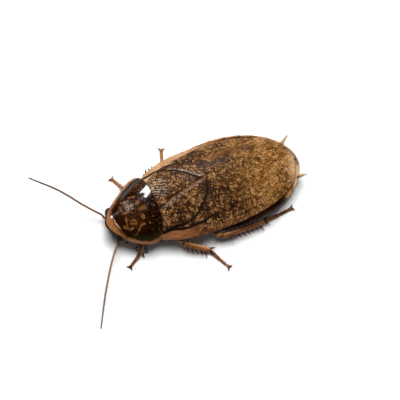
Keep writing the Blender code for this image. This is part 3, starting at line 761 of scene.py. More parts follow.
def shield_sheet():
    """The shield's plan as rings from near its centre to its rim, and the distance to the rim."""
    angle = turns(SHIELD_SPOKES)
    c, s = np.cos(angle), np.sin(angle)
    rear = s > 0
    rim_x = SHIELD_HALF_WIDTH * signed_power(c, np.where(rear, 2 / SHIELD_REAR_POWER, 2 * SHIELD_FRONT_ROUND))
    reach = np.where(rear, SHIELD_REAR - SHIELD_REAR_BOW * rim_x ** 2, SHIELD_FRONT)
    along = np.abs(s) ** np.where(rear, 2 / SHIELD_REAR_POWER, 2 / SHIELD_FRONT_POWER)
    rim_y = SHIELD_WIDEST + (reach - SHIELD_WIDEST) * along
    t = np.linspace(0.004, 1, SHIELD_LEVELS)[:, None] ** 0.9
    from_rim = (1 - t) * np.hypot(rim_x, rim_y - SHIELD_CENTRE_Y)
    return rim_x * t, SHIELD_CENTRE_Y + (rim_y - SHIELD_CENTRE_Y) * t, from_rim


def shield_height(x, y, from_rim, wx, behind_hood):
    """The solid's height with a groove along the rim, two dents, a rolled rim and a roll along the hood."""
    z = shield_top(x, y)
    z = z - 0.03 * bell(from_rim - 0.3, 0.1) * (y < -8.0)
    z = z - 0.04 * bell(np.abs(x) - 1.35, 0.28) * bell(y + 9.4, 1.1)
    z = z - 0.06 * bell(from_rim, 0.05)
    return z + 0.03 * bell(behind_hood + 0.16, 0.36) * ease(np.abs(wx), 2.2, 1.4)


def shield_margins(x, y, from_rim, wx, wy, behind_hood):
    """The hood and the side margins, with the bands along them, a painted highlight along the hood's inner
    edge and painted shade on the left side margin.
    """
    middle = np.abs(wx)
    inner_x = np.interp(wy, *zip(*[(b, a) for a, b in MARGIN_INNER])) - 0.08 * (x < 0)
    margin = ease(middle, inner_x - 0.05, inner_x + 0.07) * (wy > MARGIN_START)
    margin = np.maximum(margin, ease(behind_hood, 0.1, -0.06) * (middle < 2.3))
    margin = np.maximum(margin, (middle >= 2.2) * (wy <= MARGIN_START))
    olive = ease(np.maximum(inner_x - np.abs(x), 0), 0.75, 0.25) * window(wy, -11.9, -11.3, -8.2, -7.6)
    return {
        "margin": margin,
        "olive": olive * (1 - margin),
        "rear_edge": ease(from_rim, 0.10, 0.04) * (y > -8.0) * (1 - margin),
        "rim": ease(from_rim, 0.22, 0.05),
        # The hood's rear, and at 0.3 the left side margin as painted shade
        "hood_rear": np.maximum(ease(behind_hood, -0.42, -0.05) * (middle < 2.3), 0.3 * (x > 2.2)),
        # A painted highlight along the hood's inner edge
        "edge_line": bell(behind_hood + 0.03, 0.045) * window(wx, -0.5, -0.1, 0.7, 1.3),
    }


def shield_gloss(x, y, from_rim, wx, behind_hood):
    """Where the shield is dull: its outline in front, its flanks and, off the roll, along the hood."""
    outline = ease(from_rim, 0.15, 0.09) * ease(y, -11.9, -13.2)
    flank = ease(np.abs(x) / shield_half_width(y), 0.74, 0.86) * ease(y, -13.4, -12.6)
    off_roll = 1 - bell(behind_hood + 0.17, 0.15, 4) * (np.abs(wx) < 1.6)
    flank = np.maximum(np.maximum(outline, flank), off_roll * ease(behind_hood, 0.9, 0.5))
    return {"under": outline, "flank": flank}


def shield_marks(x, y, wx, wy):
    """The pale lines, spots and crumbs of the dark field, and the patch where a highlight is painted."""
    side = np.abs(x)
    marks = [line_distance(wx, wy, stops) - width for stops, width in SHIELD_LINES]
    spots = [line_distance(wx, wy, stops) for stops in SHIELD_SPOTS]
    reddish = 0.75 * bell(side - 0.7, 1.5, 4) * bell(y + 10.9, 1.35, 4)
    far_patch = window(x, -3.5, -3.0, -2.6, -2.1) * ease(y, -10.6, -9.6)
    return {
        "marks": np.min(marks, axis=0),
        "spots": ease(np.min(spots, axis=0), 0.27, 0.17),
        "blot": ease(line_distance(wx, wy, SHIELD_BLOT), 0.36, 0.1),
        "reddish": np.maximum(reddish, far_patch),
        "rear_dots": ease(y, -10.0, -8.9) * ease(side, 3.7, 3.0),
        # Where the painted highlight of pale dots lies
        "mottled": bell(x + 1.15, 0.7, 4) * bell(y + 11.2, 0.5, 4),
    }


def make_pronotum(paint):
    """The shield: its marked upper side, and an underside that makes it a thin shell."""
    x, y, from_rim = shield_sheet()
    wx, wy = wobble(x, y, 0.035, 1.3)
    behind_hood = wy - np.interp(wx, *zip(*HOOD_INNER))
    flat = xyz(x, y, shield_height(x, y, from_rim, wx, behind_hood))
    values = {
        **shield_margins(x, y, from_rim, wx, wy, behind_hood),
        **shield_gloss(x, y, from_rim, wx, behind_hood),
        **shield_marks(x, y, wx, wy),
    }
    values["marks"] = values["marks"] + values["margin"]
    points = shield_shifted(flat)
    surface = Surface()
    surface.grid(points, wrap=True, flip=True, lay=flat, **values)
    surface.cap(0, SHIELD_SPOKES)

    pick = np.linspace(SHIELD_LEVELS - 1, 8, SHIELD_UNDER_LEVELS).astype(int)
    under = points[pick]
    under[..., 2] -= 0.2 + 0.14 * ease(from_rim[pick], 0.0, 1.2)
    start = surface.count
    surface.grid(under, wrap=True, flip=True, lay=under, under=1.0, flank=1.0)
    surface.cap(start + (SHIELD_UNDER_LEVELS - 1) * SHIELD_SPOKES, SHIELD_SPOKES, flip=True)
    rim = (SHIELD_LEVELS - 1) * SHIELD_SPOKES
    for k in range(SHIELD_SPOKES):
        j = (k + 1) % SHIELD_SPOKES
        surface.faces.append((rim + k, start + k, start + j, rim + j))
    surface.piece("pronotum_shell", paint, ["pronotum"])


# Lines of each fore wing as (distance from the middle, y): the furrow that cuts off its inner base,
# and the shoulder line along its front edge
FURROW = {
    "left": (
        (3.3, -8.2), (3.35, -7.6), (3.43, -6.45), (3.59, -5.16), (3.38, -4.12), (3.17, -3.36),
        (2.65, -2.76), (2.22, -2.17), (1.63, -1.58), (1.12, -1.13), (0.6, -0.85),
    ),
    "right": (
        (4.0, -8.2), (4.15, -6.2), (4.1, -5.36), (3.82, -4.86), (3.21, -3.53), (2.79, -3.07),
        (2.4, -2.57), (1.94, -2.11), (1.25, -1.32), (0.9, -0.9),
    ),
}
SHOULDER = {
    "left": (
        (3.3, -8.2), (3.54, -7.14), (3.68, -6.52), (3.87, -5.9), (4.05, -5.29), (4.14, -3.94),
        (4.09, -2.53), (3.93, -1.77), (3.5, 0.0),
    ),
    "right": (
        (3.9, -8.2), (3.99, -6.49), (4.25, -5.0), (4.3, -4.28), (4.1, -3.02), (3.83, -1.77),
        (3.67, -0.72), (3.4, 0.8),
    ),
}
# Width of the pale band along the right wing's outer margin, as (y, width)
COSTAL_BAND = ((-4.2, 0.96), (-2.6, 0.77), (-1.1, 0.63), (0.5, 0.39), (2.8, 0.26), (5.7, 0.14), (9.0, 0.1))
# Dark patch, dark nick and red streak of the right wing, in the same way as its lines
RIGHT_PATCH = ((2.2, 1.5), (3.4, 4.5), (2.9, 7.2))
RIGHT_NICK = ((1.1, -1.1), (1.0, 0.3))
RIGHT_STREAK = ((3.61, -0.46), (3.5, 1.0), (3.42, 3.0), (3.3, 6.0))


class Wing:
    """The upper side of a fore wing: rows from base to tip, columns from its inner to its outer margin."""

    def __init__(self, side):
        self.left = side == "left"
        self.sign = 1.0 if self.left else -1.0
        start = float(wing_base_y(0.0))
        end = WING_TIP - (0.03 if self.left else 0.3)
        u = np.linspace(0, 1, WING_ROWS)[:, None]
        v = np.linspace(0, 1, WING_COLUMNS)[None, :]
        y = start - WING_TUCK + (end - start + WING_TUCK) * (1 - (1 - u) ** 1.35)
        half = wing_half_width(y)
        if self.left:
            inner = np.maximum(wing_lap(y), -half)
        else:
            inner = np.minimum(wing_lap(y) + WING_UNDERLAP, 0.3)
        self.outer = half * self.sign
        self.x = inner + (self.outer - inner) * (1 - (1 - v) ** 1.25)
        self.y = y * np.ones_like(self.x)
        self.out = self.x * self.sign
        self.z = wing_top(self.x, self.y) - 0.34 * ease(self.y, start + 0.04, start - 0.22)
        self.width = wing_half_width(self.y)
        self.from_side = self.width - self.out
        self.from_inner = np.abs(self.x - inner)
        self.from_outer = np.abs(self.outer - self.x)
        self.add_lines(smooth_path(FURROW[side], 60), smooth_path(SHOULDER[side], 50))

    def add_lines(self, furrow, shoulder):
        """Distances to the wing's lines, and the field inside the furrow."""
        self.wx, self.wy = wobble(self.out, self.y, 0.012, 1.7)
        self.furrow = line_distance(self.wx, self.wy, furrow)
        self.shoulder = line_distance(self.wx, self.wy, shoulder)
        self.past_shoulder = self.wx - np.interp(self.wy, shoulder[:, 1], shoulder[:, 0])
        past_furrow = self.wx - np.interp(self.wy, furrow[:, 1], furrow[:, 0])
        self.clavus = ease(self.furrow, 0.0, 1.5) * (past_furrow < 0) * (self.y < -0.8)
        self.outside = (past_furrow > 0) * (self.y < -0.9)

    def add_relief(self):
        """Grooves along the lines, a raised inner field, veins, and a rounded outer margin."""
        groove = 0.07 * bell(self.furrow, 0.11)
        groove = groove + 0.05 * bell(self.shoulder, 0.11) * ease(self.y, 0.6, -0.6)
        fan = self.from_side - 0.42 * (self.y + 8.0) * ease(self.from_side, 0.0, 4.0)
        self.vein = np.where(self.clavus > 0, self.out + 0.12 * self.y, fan)
        ridges = np.sin(2 * np.pi * self.vein / 0.62) + 0.5 * np.sin(2 * np.pi * self.vein / 0.31 + 0.8)
        self.z = self.z - groove + 0.09 * self.clavus
        self.z = self.z + 0.009 * ridges * ease(self.from_outer, 0.2, 0.8)
        self.z = self.z - 0.05 * ease(self.from_outer, 0.12, 0.0)


def left_marks(w):
    """The upper wing: a raised inner margin with a painted sheen of pale stripes, and a shade behind its
    furrow.
    """
    w.z = w.z + (0.02 + 0.08 * ease(w.y, 0.0, -2.0)) * ease(w.from_inner, 0.42, 0.06)
    w.z = w.z - 0.05 * ease(w.from_inner, 0.06, 0.0)
    stripe = np.sin(2 * np.pi * (0.5 * w.out + w.y) / 0.29 + 0.8 * np.sin(3.1 * w.y))
    silver = window(w.from_inner, 0.1, 0.2, 0.4, 0.6) * ease(w.y, -0.6, -1.8)
    return {
        "silver": 0.75 * silver * ease(stripe, -0.5, 0.4),
        "shade": window(w.y, -3.6, -1.6, -1.0, 1.0) * ease(w.furrow, 1.3, 0.1),
        "red": np.zeros_like(w.x),
    }


def right_marks(w):
    """The lower wing: bent stripes of painted sheen on its base and beside its furrow, and dark and red marks
    further back.
    """
    bend = 0.9 * np.sin(2.1 * w.y + 1.3 * w.out) + 0.7 * np.sin(5.3 * w.y - 2.2 * w.out + 1.0)
    stripe = np.sin(2 * np.pi * (0.9 * w.out + 0.42 * w.y) / 0.36 + bend)
    base = bell(w.out - 2.0, 1.3, 4) * bell(w.y + 6.8, 1.2)
    w.z = w.z + 0.015 * stripe * base - 0.17 * ease(w.from_inner, WING_UNDERLAP + 0.25, 0.1)
    beside = 0.5 * w.outside * window(w.furrow, 0.12, 0.2, 0.3, 0.5) * ease(w.y, -4.6, -3.8)
    patch = line_distance(w.wx, w.wy, RIGHT_PATCH)
    nick = line_distance(w.wx, w.wy, RIGHT_NICK)
    streak = line_distance(w.wx, w.wy, RIGHT_STREAK)
    return {
        "silver": np.maximum(base * ease(stripe, -0.2, 0.9), beside),
        "shade": np.maximum(0.8 * ease(patch, 0.95, 0.2), ease(nick, 0.16, 0.05)),
        "red": 0.6 * ease(streak, 0.4, 0.08),
    }


def wing_bands(w):
    """The tan band along the outer margin and the cream of the tip; on the right wing the band is painted
    cream as well, as painted light.
    """
    if w.left:
        fade = (-2.2, -5.2)
        band = 0.3 * ease(w.from_side, 0.6, 0.2) * ease(w.y, 10.5, 3.0)
    else:
        fade = (-2.6, -4.6)
        edge = np.interp(w.wy, *zip(*COSTAL_BAND))
        band = ease(w.width - w.wx, edge + 0.1, edge - 0.08)
    costal = np.maximum(ease(w.past_shoulder, 0.05, 0.25) * ease(w.y, *fade), band)
    cream = ease(w.y + 0.25 * w.x, 10.9, 12.3) * ease(w.x, -1.6, 0.2)
    # On the right wing, on the lit side, the margin band is painted cream as painted light
    if not w.left:
        cream = np.maximum(cream, 0.85 * costal * ease(w.y, 4.0, -1.0))
    return costal, cream


def with_fold(values, extra=0.0):
    """The columns of a wing, and those of its folded margin."""
    return np.hstack([values, extra * np.ones((WING_ROWS, WING_FOLD_COLUMNS))])


def carried(values):
    """The same with the value at the edge carried over the fold."""
    return with_fold(values, values[:, -1:])


def make_tegmen(side, paint):
    """A fore wing as a thin plate whose outer margin is folded down."""
    w = Wing(side)
    w.add_relief()
    marks = left_marks(w) if w.left else right_marks(w)
    costal, cream = wing_bands(w)
    thick = 0.045 if w.left else 0.0
    line = ease(w.shoulder, 0.11 + thick, 0.04 + thick) * ease(w.y, 0.3, -1.6)
    line = np.maximum(line, ease(w.furrow, 0.13 + thick, 0.05 + thick))

    edge_y = w.y[:, -1:]
    fold = np.linspace(0, 1, WING_FOLD_COLUMNS + 1)[None, 1:]
    drop = WING_FOLD * (1 - 0.45 * ease(edge_y, 2.0, 8.5))
    fold_x = w.outer - w.sign * 0.10 * (1 - np.cos(fold * np.pi / 2)) * ease(w.width[:, -1:], 0.0, 1.0)
    top = xyz(with_fold(w.x, fold_x), carried(w.y), with_fold(w.z, w.z[:, -1:] - drop * fold))
    top_y, top_z = top[..., 1], top[..., 2]
    amber = (-6.2, -5.0) if w.left else (-3.0, 0.0)
    # The noises of the two wings are 20 mm apart or more, so that they differ
    values = {
        "grain": xyz(carried(w.vein) + 20 * w.left, top_y, top_z),
        "lay": top * (1.0, 1.0, 0.5) + (20 * w.sign, 0.0, 0.0),
        "rear": ease(top_y, -3.0, 11.0),
        "amber": ease(top_y, *amber),
        "costal": carried(costal),
        "cream": carried(cream),
        "furrow": with_fold(line),
        # The folded margin is darkened where it turns under, as painted shade
        "under": with_fold(0 * w.x, ease(fold, 0.02, 0.3) * ease(edge_y, 8.0, 5.5)),
        **{key: with_fold(value) for key, value in marks.items()},
    }
    edge = ease(np.minimum(w.from_inner, w.from_outer), 0.0, 0.3)
    thickness = WING_RIM + (WING_SHELL - WING_RIM) * edge
    surface = Surface()
    thin_plate(surface, bowed(top), carried(thickness), **values)
    surface.piece(f"forewing_{side}", paint, [f"tegmen_{side}"])


TAIL_DOTS = ((2.35, 12.47), (3.95, 11.69), (4.9, 9.66), (0.0, 13.0))


def make_abdomen(paint):
    """Plates with thin rims: the left flank is nearly black and its rim is left dark as painted shade, while
    the right rim and the tail are tan.
    """
    rows, sides = 40, 200
    angle = turns(sides)[None, :]
    c, s = np.cos(angle), np.sin(angle)
    across = np.abs(c) ** 0.9
    t = np.linspace(0, 1, rows)[:, None]
    edges = [*SEGMENT_EDGES, ABDOMEN_END]
    for number, (front, rear) in enumerate(zip(edges, edges[1:])):
        tail = number == len(edges) - 2
        lap = 0.0 if tail else 0.22
        y = np.minimum(front + (rear + lap - front) * t, ABDOMEN_END - 0.01)
        inset = 0.10 * (1 - t) ** 2 - 0.02 * t
        if not tail:
            inset = inset + 0.1 * ease(t, 0.93, 1.0)
        width = np.maximum(0.05, abdomen_half_width(y) - np.maximum(inset, -0.02))
        x = width * np.sign(c) * across
        y = y * np.ones_like(x)
        upper = abdomen_top(across, y) - inset
        lower = abdomen_bottom(across, y) + np.maximum(inset, 0)
        points = xyz(x, y, np.where(s >= 0, upper, lower))
        streak = ease(across, 0.974, 0.96) * window(y, 2.6, 3.6, 8.6, 9.6) * (x < 0) * (s > -0.1)
        corner = ease(t, 0.26, 0.1) * ease(across, 0.88, 0.94) * (s > -0.2) * (y > 8.0)
        from_dots = np.min([np.hypot(x - dot_x, y - dot_y) for dot_x, dot_y in TAIL_DOTS], axis=0)
        surface = Surface()
        surface.tube(
            bowed(points),
            lay=points,
            # The tan rim only on the right and at the tail: on the left it is left out as painted shade
            upper=ease(across, 0.84, 0.90) * (s > -0.10) * np.maximum(x < 0, ease(y, 9.0, 10.4)),
            corner=np.maximum(np.maximum(corner, streak), ease(from_dots, 0.26, 0.12)),
            belly=ease(s, -0.45, -0.85),
            hind_edge=ease(t, 0.84, 0.93) * ease(s, 0.0, -0.3),
            cream=ease(y, 11.0, 11.9) * ease(x, 0.4, 1.0) * (s > -0.2),
            grey=ease(y, 12.25, 12.6) * window(x, -1.9, -1.5, 0.7, 1.0) * (s > -0.2),
        )
        node = "supra_anal_plate" if tail else f"abdomen_segment_{number + 1}"
        surface.piece(f"plate_{node}", paint, [node])


# The thorax as (y, half width, lowest, highest)
THORAX = (
    (-12.0, 0.45, 1.9, 2.5), (-11.6, 0.7, 1.95, 2.95), (-11.1, 1.15, 2.15, 3.5), (-10.2, 1.8, 2.0, 3.9),
    (-9.0, 2.2, 1.9, 4.05), (-7.8, 2.55, 1.85, 4.05), (-7.4, 2.5, 1.95, 3.85), (-7.1, 2.6, 1.85, 3.9),
    (-5.2, 3.5, 1.8, 4.1), (-4.2, 3.65, 1.85, 4.15), (-3.95, 3.6, 1.98, 4.1), (-3.6, 3.95, 1.85, 4.2),
    (-1.9, 4.1, 1.9, 4.2), (-0.9, 4.1, 2.0, 4.1), (-0.6, 4.0, 2.1, 4.0),
)


def make_thorax(paint):
    """One skin over the neck and the three parts of the thorax."""
    rows, sides = 150, 72
    y, *measures = np.array(THORAX).T
    at = np.linspace(y[0], y[-1], rows)[:, None]
    half, low, high = (np.interp(at, y, values) for values in measures)
    angle = turns(sides)[None, :]
    folds = 0.02 * np.sin(at * 9.0) * np.sin(angle * 3) ** 2
    x = (half + folds) * signed_power(np.cos(angle), 0.75) + CROWN[0] * ease(at, -10.5, -12.0)
    z = (low + high) / 2 + ((high - low) / 2 + folds) * signed_power(np.sin(angle), 0.75)
    points = xyz(x, at * np.ones_like(x), z)
    surface = Surface()
    surface.tube(bowed(points), lay=points)
    surface.piece("thorax_skin", paint, ["neck", "prothorax", "mesothorax", "metathorax"])


def make_head(paint):
    """The capsule with sockets, seams and two pale dots on its face, then the lip and the jaws."""
    rows, sides = 110, 144
    s, angle = np.broadcast_arrays(
        np.linspace(0, 1, rows)[:, None],
        turns(sides)[None, :],
    )
    x = head_profile(s)[0] * signed_power(np.cos(angle), 0.9)
    out = np.abs(x)
    face = ease(-np.sin(angle), 0.05, 0.5)
    socket = np.hypot(out - 0.98, (s - 0.47) * HEAD_LENGTH)
    suture = (s - 0.70 + 0.05 * np.minimum(out, 1.0)) * HEAD_LENGTH
    ocellus = np.hypot(out - 0.72, (s - 0.34) * HEAD_LENGTH)
    lift = 0.03 * bell(out - 0.45, 0.5) * bell(s - 0.3, 0.2)
    lift += 0.07 * bell(socket - 0.26, 0.07) - 0.1 * bell(socket, 0.18)
    lift -= 0.04 * bell(suture, 0.05) + 0.03 * bell(x, 0.05) * ease(s, 0.3, 0.05)
    lift += 0.06 * bell(out - 0.8, 0.25) * ease(s, 0.72, 0.86)
    pale = ease(ocellus, 0.16, 0.09) + ease(s, 0.80, 0.90) + 0.8 * ease(socket, 0.36, 0.26)
    points = head_point(s, angle, lift * face)
    surface = Surface()
    surface.tube(bowed(points), lay=points, pale=np.clip(pale, 0, 1) * face)
    surface.piece("head_capsule", paint, ["head"])

    surface = Surface()
    rows = 24
    t = np.linspace(0, 1, rows)
    path = CROWN + HEAD_ALONG * (HEAD_LENGTH * 0.99 + 0.66 * t[:, None])
    lip = round_ends(rows, 0.05, 0.35)
    rings = rings_along(path, 0.66 * lip * (1 - 0.25 * t ** 2), 0.22 * lip, 32)
    surface.tube(bowed(rings), lay=rings, pale=0.5)
    rows = 20
    for sign in (1, -1):
        start = CROWN + HEAD_ALONG * HEAD_LENGTH * 0.8 + HEAD_SIDE * 0.78 * sign - HEAD_REAR * 0.1
        tip = CROWN + HEAD_ALONG * (HEAD_LENGTH + 0.42) + HEAD_SIDE * 0.32 * sign - HEAD_REAR * 0.02
        path = smooth_path((start, (start + tip) / 2 + HEAD_SIDE * 0.22 * sign, tip), rows)
        taper = np.linspace(1, 0.2, rows) * round_ends(rows, 0.1, 0.1)
        rings = rings_along(path, 0.26 * taper, 0.2 * taper, 20)
        surface.tube(bowed(rings), lay=rings, pale=0.15)
    surface.piece("mouth", paint, ["labrum"])


def make_eye(name, sign, paint):
    """A bean-shaped dome on the head, with a skirt that runs into it."""
    levels, spokes = 40, 96
    turn = turns(spokes)[None, :]
    ring = np.linspace(0.01, 1, levels)[:, None]
    s = 0.28 + 0.24 * ring * np.cos(turn)
    angle = math.radians(12) + math.radians(40) * ring * np.sin(turn)
    dome = mirrored(head_point(s, angle, 0.02 + 0.36 * (1 - ring ** 2.6) ** 0.75), sign)
    skirt = np.vstack([dome[-1:], mirrored(head_point(s[-1:], angle[-1:], -0.08), sign)])
    surface = Surface()
    surface.grid(bowed(dome), wrap=True, flip=sign < 0, lay=dome)
    surface.cap(0, spokes, flip=sign > 0)
    surface.grid(bowed(skirt), wrap=True, flip=sign < 0, lay=skirt)
    surface.piece(f"eye_{name}_facets", paint, [f"eye_{name}"])


# Feelers as elbow, points on the way, and tip
ANTENNAE = {
    "left": ((2.45, -13.2, 1.4), (4.9, -15.5, 2.9), (8.6, -18.3, 4.4), (12.9, -21.2, 6.0)),
    "right": ((-1.65, -13.6, 1.4), (-3.1, -15.8, 3.0), (-5.4, -18.7, 5.0), (-7.4, -22.4, 7.5)),
}


def make_antenna(name, limb, feeler):
    """A base segment from the head's socket to the elbow, then a whip of ringed beads."""
    sign = 1 if name == "left" else -1
    elbow = np.array(ANTENNAE[name][0])
    socket = bowed(head_point(0.47, -math.pi / 2 + sign * 0.52))
    surface = Surface()
    rows = 30
    t = np.linspace(0, 1, rows)
    path = smooth_path((socket, (socket + elbow) / 2 + (0.0, -0.12, -0.08), elbow), rows)
    radii = 0.18 * round_ends(rows, 0.1, 0.1) * (1 - 0.2 * np.sin(3 * t))
    surface.rod(path, radii, radii, dark=0.8 * ease(t, 0.9, 1.0))
    surface.piece(f"scape_{name}", limb, [f"antenna_base_{name}"])

    surface = Surface()
    rough = smooth_path(ANTENNAE[name], 200)
    steps = np.r_[0, np.cumsum(np.linalg.norm(np.diff(rough, axis=0), axis=1))]
    beads, per_bead = 56, 8
    s = np.linspace(0, steps[-1], beads * per_bead + 1)
    path = np.stack([np.interp(s, steps, rough[:, k]) for k in range(3)], axis=1)
    along = s / steps[-1]
    number, phase = np.divmod(np.arange(len(s)), per_bead)
    phase = phase / per_bead
    bead = 0.86 + 0.16 * np.sin(np.pi * phase) ** 0.6 + 0.04 * phase
    radii = (0.125 * (1 - along) ** 0.5 + 0.055 * along) * bead
    radii[-3:] *= (0.8, 0.55, 0.2)
    band = ease(np.abs(phase - 0.5), 0.36, 0.5) * (0.9 - 0.4 * along)
    base_band = 0.9 * ease(along, 0.16, 0.02) * (number % 2)
    surface.rod(path, radii, radii, 14, along=along, dark=np.maximum(band, base_band))
    add_hairs(surface, path, radii, count=420, length=0.16, thickness=0.009)
    surface.piece(f"flagellum_{name}", feeler, [f"antenna_{name}"])


def add_cone(surface, start, tip, radius, bend=(0.0, 0.0, 0.0), sides=8, rows=6, dark=0.85):
    """A slender spine or hair, slightly bent."""
    path = smooth_path((start, (start + tip) / 2 + bend, tip), rows)
    radii = radius * np.linspace(1, 0.04, rows) ** 0.7
    steep = abs((tip - start)[2]) >= 0.8 * np.linalg.norm(tip - start)
    up = (1.0, 0.2, 0.0) if steep else (0.3, 0.1, 1.0)
    surface.rod(path, radii, radii, sides, up, grounded=True, dark=dark)


def add_hairs(surface, path, radii, count, length, thickness):
    """Fine hairs all round a limb, leaning towards its end."""
    ahead = unit(np.gradient(path, axis=0))
    for _ in range(count):
        k = int(rng.integers(3, len(path) - 3))
        way = rng.normal(size=3)
        way = unit(way - ahead[k] * way.dot(ahead[k]))
        start = path[k] + way * radii[k] * 0.9
        tip = start + (way + ahead[k] * 0.8 * rng.uniform(0.6, 1.4)) * length * rng.uniform(0.6, 1.1)
        tip[2] = max(tip[2], 0.03)
        add_cone(surface, start, tip, thickness, sides=3, rows=3, dark=0.6)


# The palps, all as if on the left side of the head
PALP_ROOT = (1.12, -11.55, 0.9)
LABIAL_PALP = ((0.5, -10.5, 0.95), (0.8, -10.7, 0.6), (0.95, -11.1, 0.5))
PALPS = {
    "maxillary_palp_left": (PALP_ROOT, (1.6, -11.7, 0.62), (2.05, -11.9, 0.85), (2.35, -12.15, 1.4)),
    "maxillary_palp_right": (PALP_ROOT, (1.45, -11.7, 0.6), (1.7, -12.0, 0.65), (1.8, -12.45, 0.85)),
    "labial_palp_left": LABIAL_PALP,
    "labial_palp_right": LABIAL_PALP,
}


def make_palp(name, limb):
    """A row of swollen segments, four in the outer palps and three in the inner ones."""
    stops = mirrored(PALPS[name], 1 if name.endswith("left") else -1)
    segments = len(stops)
    path = smooth_path(bowed(stops), 20 * segments)
    phase = np.linspace(0, segments, len(path)) % 1
    radii = 0.2 * (0.72 + 0.34 * np.sin(np.pi * phase) ** 0.7) * round_ends(len(path), 0.06, 0.1)
    surface = Surface()
    surface.rod(path, radii, radii, dark=0.6 * ease(np.abs(phase - 0.5), 0.38, 0.5))
    add_hairs(surface, path, radii, count=60, length=0.12, thickness=0.008)
    surface.piece(f"{name}_horn", limb, [name])


CERCI = {
    "left": ((2.0, 12.2, 1.7), (2.2, 12.9, 1.98), (2.32, 13.75, 2.3)),
    "right": ((-2.3, 12.0, 1.72), (-2.85, 12.75, 2.0), (-3.4, 13.6, 2.3)),
}


def make_cercus(name, feeler):
    """A tail feeler of tapering rings."""
    count, beads = 66, 11
    path = smooth_path(CERCI[name], count)
    t = np.linspace(0, 1, count)
    phase = t * beads % 1
    radii = 0.4 * (1 - 0.95 * t) * (0.88 + 0.14 * np.sin(np.pi * phase)) * round_ends(count, 0.08, 0.08)
    surface = Surface()
    surface.rod(path, radii, radii, 20, pale=0.9, dark=0.35 * ease(np.abs(phase - 0.5), 0.36, 0.5))
    add_hairs(surface, path, radii, count=120, length=0.18, thickness=0.008)
    surface.piece(f"cercus_{name}_rings", feeler, [f"cercus_{name}"])


# Legs as the solids have them: where the coxa starts and ends, where the femur starts, knee, ankle, toe,
# then the tibia's half width and its rows of spines
LEGS = {
    "left_front": ((0.80, -10.0, 1.30), (1.25, -8.35, 1.12), (1.85, -8.1, 1.15), (2.75, -10.2, 2.0),
                   (4.35, -10.7, 0.60), (5.55, -12.55, 0.21), 0.31, 5),
    "right_front": ((-0.80, -10.0, 1.30), (-1.25, -8.35, 1.12), (-1.85, -8.1, 1.15), (-1.95, -10.1, 2.05),
                    (-3.9, -9.0, 0.60), (-5.95, -10.05, 0.21), 0.27, 4),
    "left_middle": ((1.3, -6.6, 1.35), (2.3, -4.5, 1.15), (2.3, -4.5, 1.15), (5.25, -5.6, 1.75),
                    (7.05, -2.1, 0.60), (9.8, -0.55, 0.21), 0.30, 5),
    "right_middle": ((-1.3, -6.6, 1.35), (-2.1, -4.4, 1.15), (-2.35, -4.3, 1.15), (-4.5, -6.6, 1.75),
                     (-4.8, -3.45, 0.60), (-7.5, -2.35, 0.21), 0.30, 5),
    "left_hind": ((1.4, -3.6, 1.35), (2.4, -1.3, 1.15), (2.4, -1.3, 1.15), (6.15, -0.5, 1.70),
                  (5.95, 6.3, 0.60), (5.4, 10.7, 0.21), 0.31, 8),
    "right_hind": ((-1.4, -3.6, 1.35), (-2.4, -1.3, 1.15), (-2.4, -1.3, 1.15), (-5.15, -0.9, 1.70),
                   (-4.9, 5.9, 0.60), (-4.3, 10.1, 0.21), 0.31, 8),
}
# How much darker than amber the tibia and the tarsus are, less than 0 for paler, and the tarsus'
# relative width. The right legs, on the lit side, are painted paler as painted light
PLAIN_LEG = (0.0, -0.15, 1.0)
LEG_LOOKS = {
    "left_front": (0.65, 0.35, 1.0),
    "left_hind": (0.05, 0.5, 1.1),
    "right_front": (-0.8, -0.9, 1.1),
    "right_middle": (-0.5, -0.8, 1.1),
}
# Half widths and half heights at even steps along the coxa and the femur, and shares of the tibia's
COXA = (0.4, 0.62, 0.66, 0.5, 0.3), (0.24, 0.36, 0.36, 0.3, 0.22)
FEMUR = (0.22, 0.38, 0.48, 0.48, 0.44, 0.40), (0.2, 0.3, 0.37, 0.37, 0.36, 0.34)
TIBIA = np.array((1.0, 1.08, 1.15, 1.2, 1.24, 1.24, 1.15))


def segment(surface, start, end, widths, heights, blunt=0.06, shade=0.0, joint=0.85):
    """One leg segment, shade darker than amber and joint darker at its ends."""
    rows, sides = 60, 28
    path = smooth_path((start, (start + end) / 2, end), rows)
    t = np.linspace(0, 1, rows)
    close = round_ends(rows, blunt, blunt)

    def spread(sizes):
        """Half sizes at every row, smoothed over seven of them."""
        sizes = np.interp(t, np.linspace(0, 1, len(sizes)), sizes)
        return np.convolve(np.pad(sizes, 3, "edge"), np.ones(7) / 7, "valid") * close

    width = spread(widths)
    ends = np.maximum(ease(t, 0.08, 0.0), ease(t, 0.93, 1.0))
    # The ridge value marks a stripe along one side of the tube, where a highlight is painted
    facing = np.sin(turns(sides) - 0.5)
    ridge = ease(facing, 0.6, 0.97)[None, :] * ease(t, 0.0, 0.15)[:, None]
    dark = shade + (max(joint, shade) - shade) * ends
    surface.rod(path, width, spread(heights), sides, dark=dark, ridge=ridge)
    return path, width


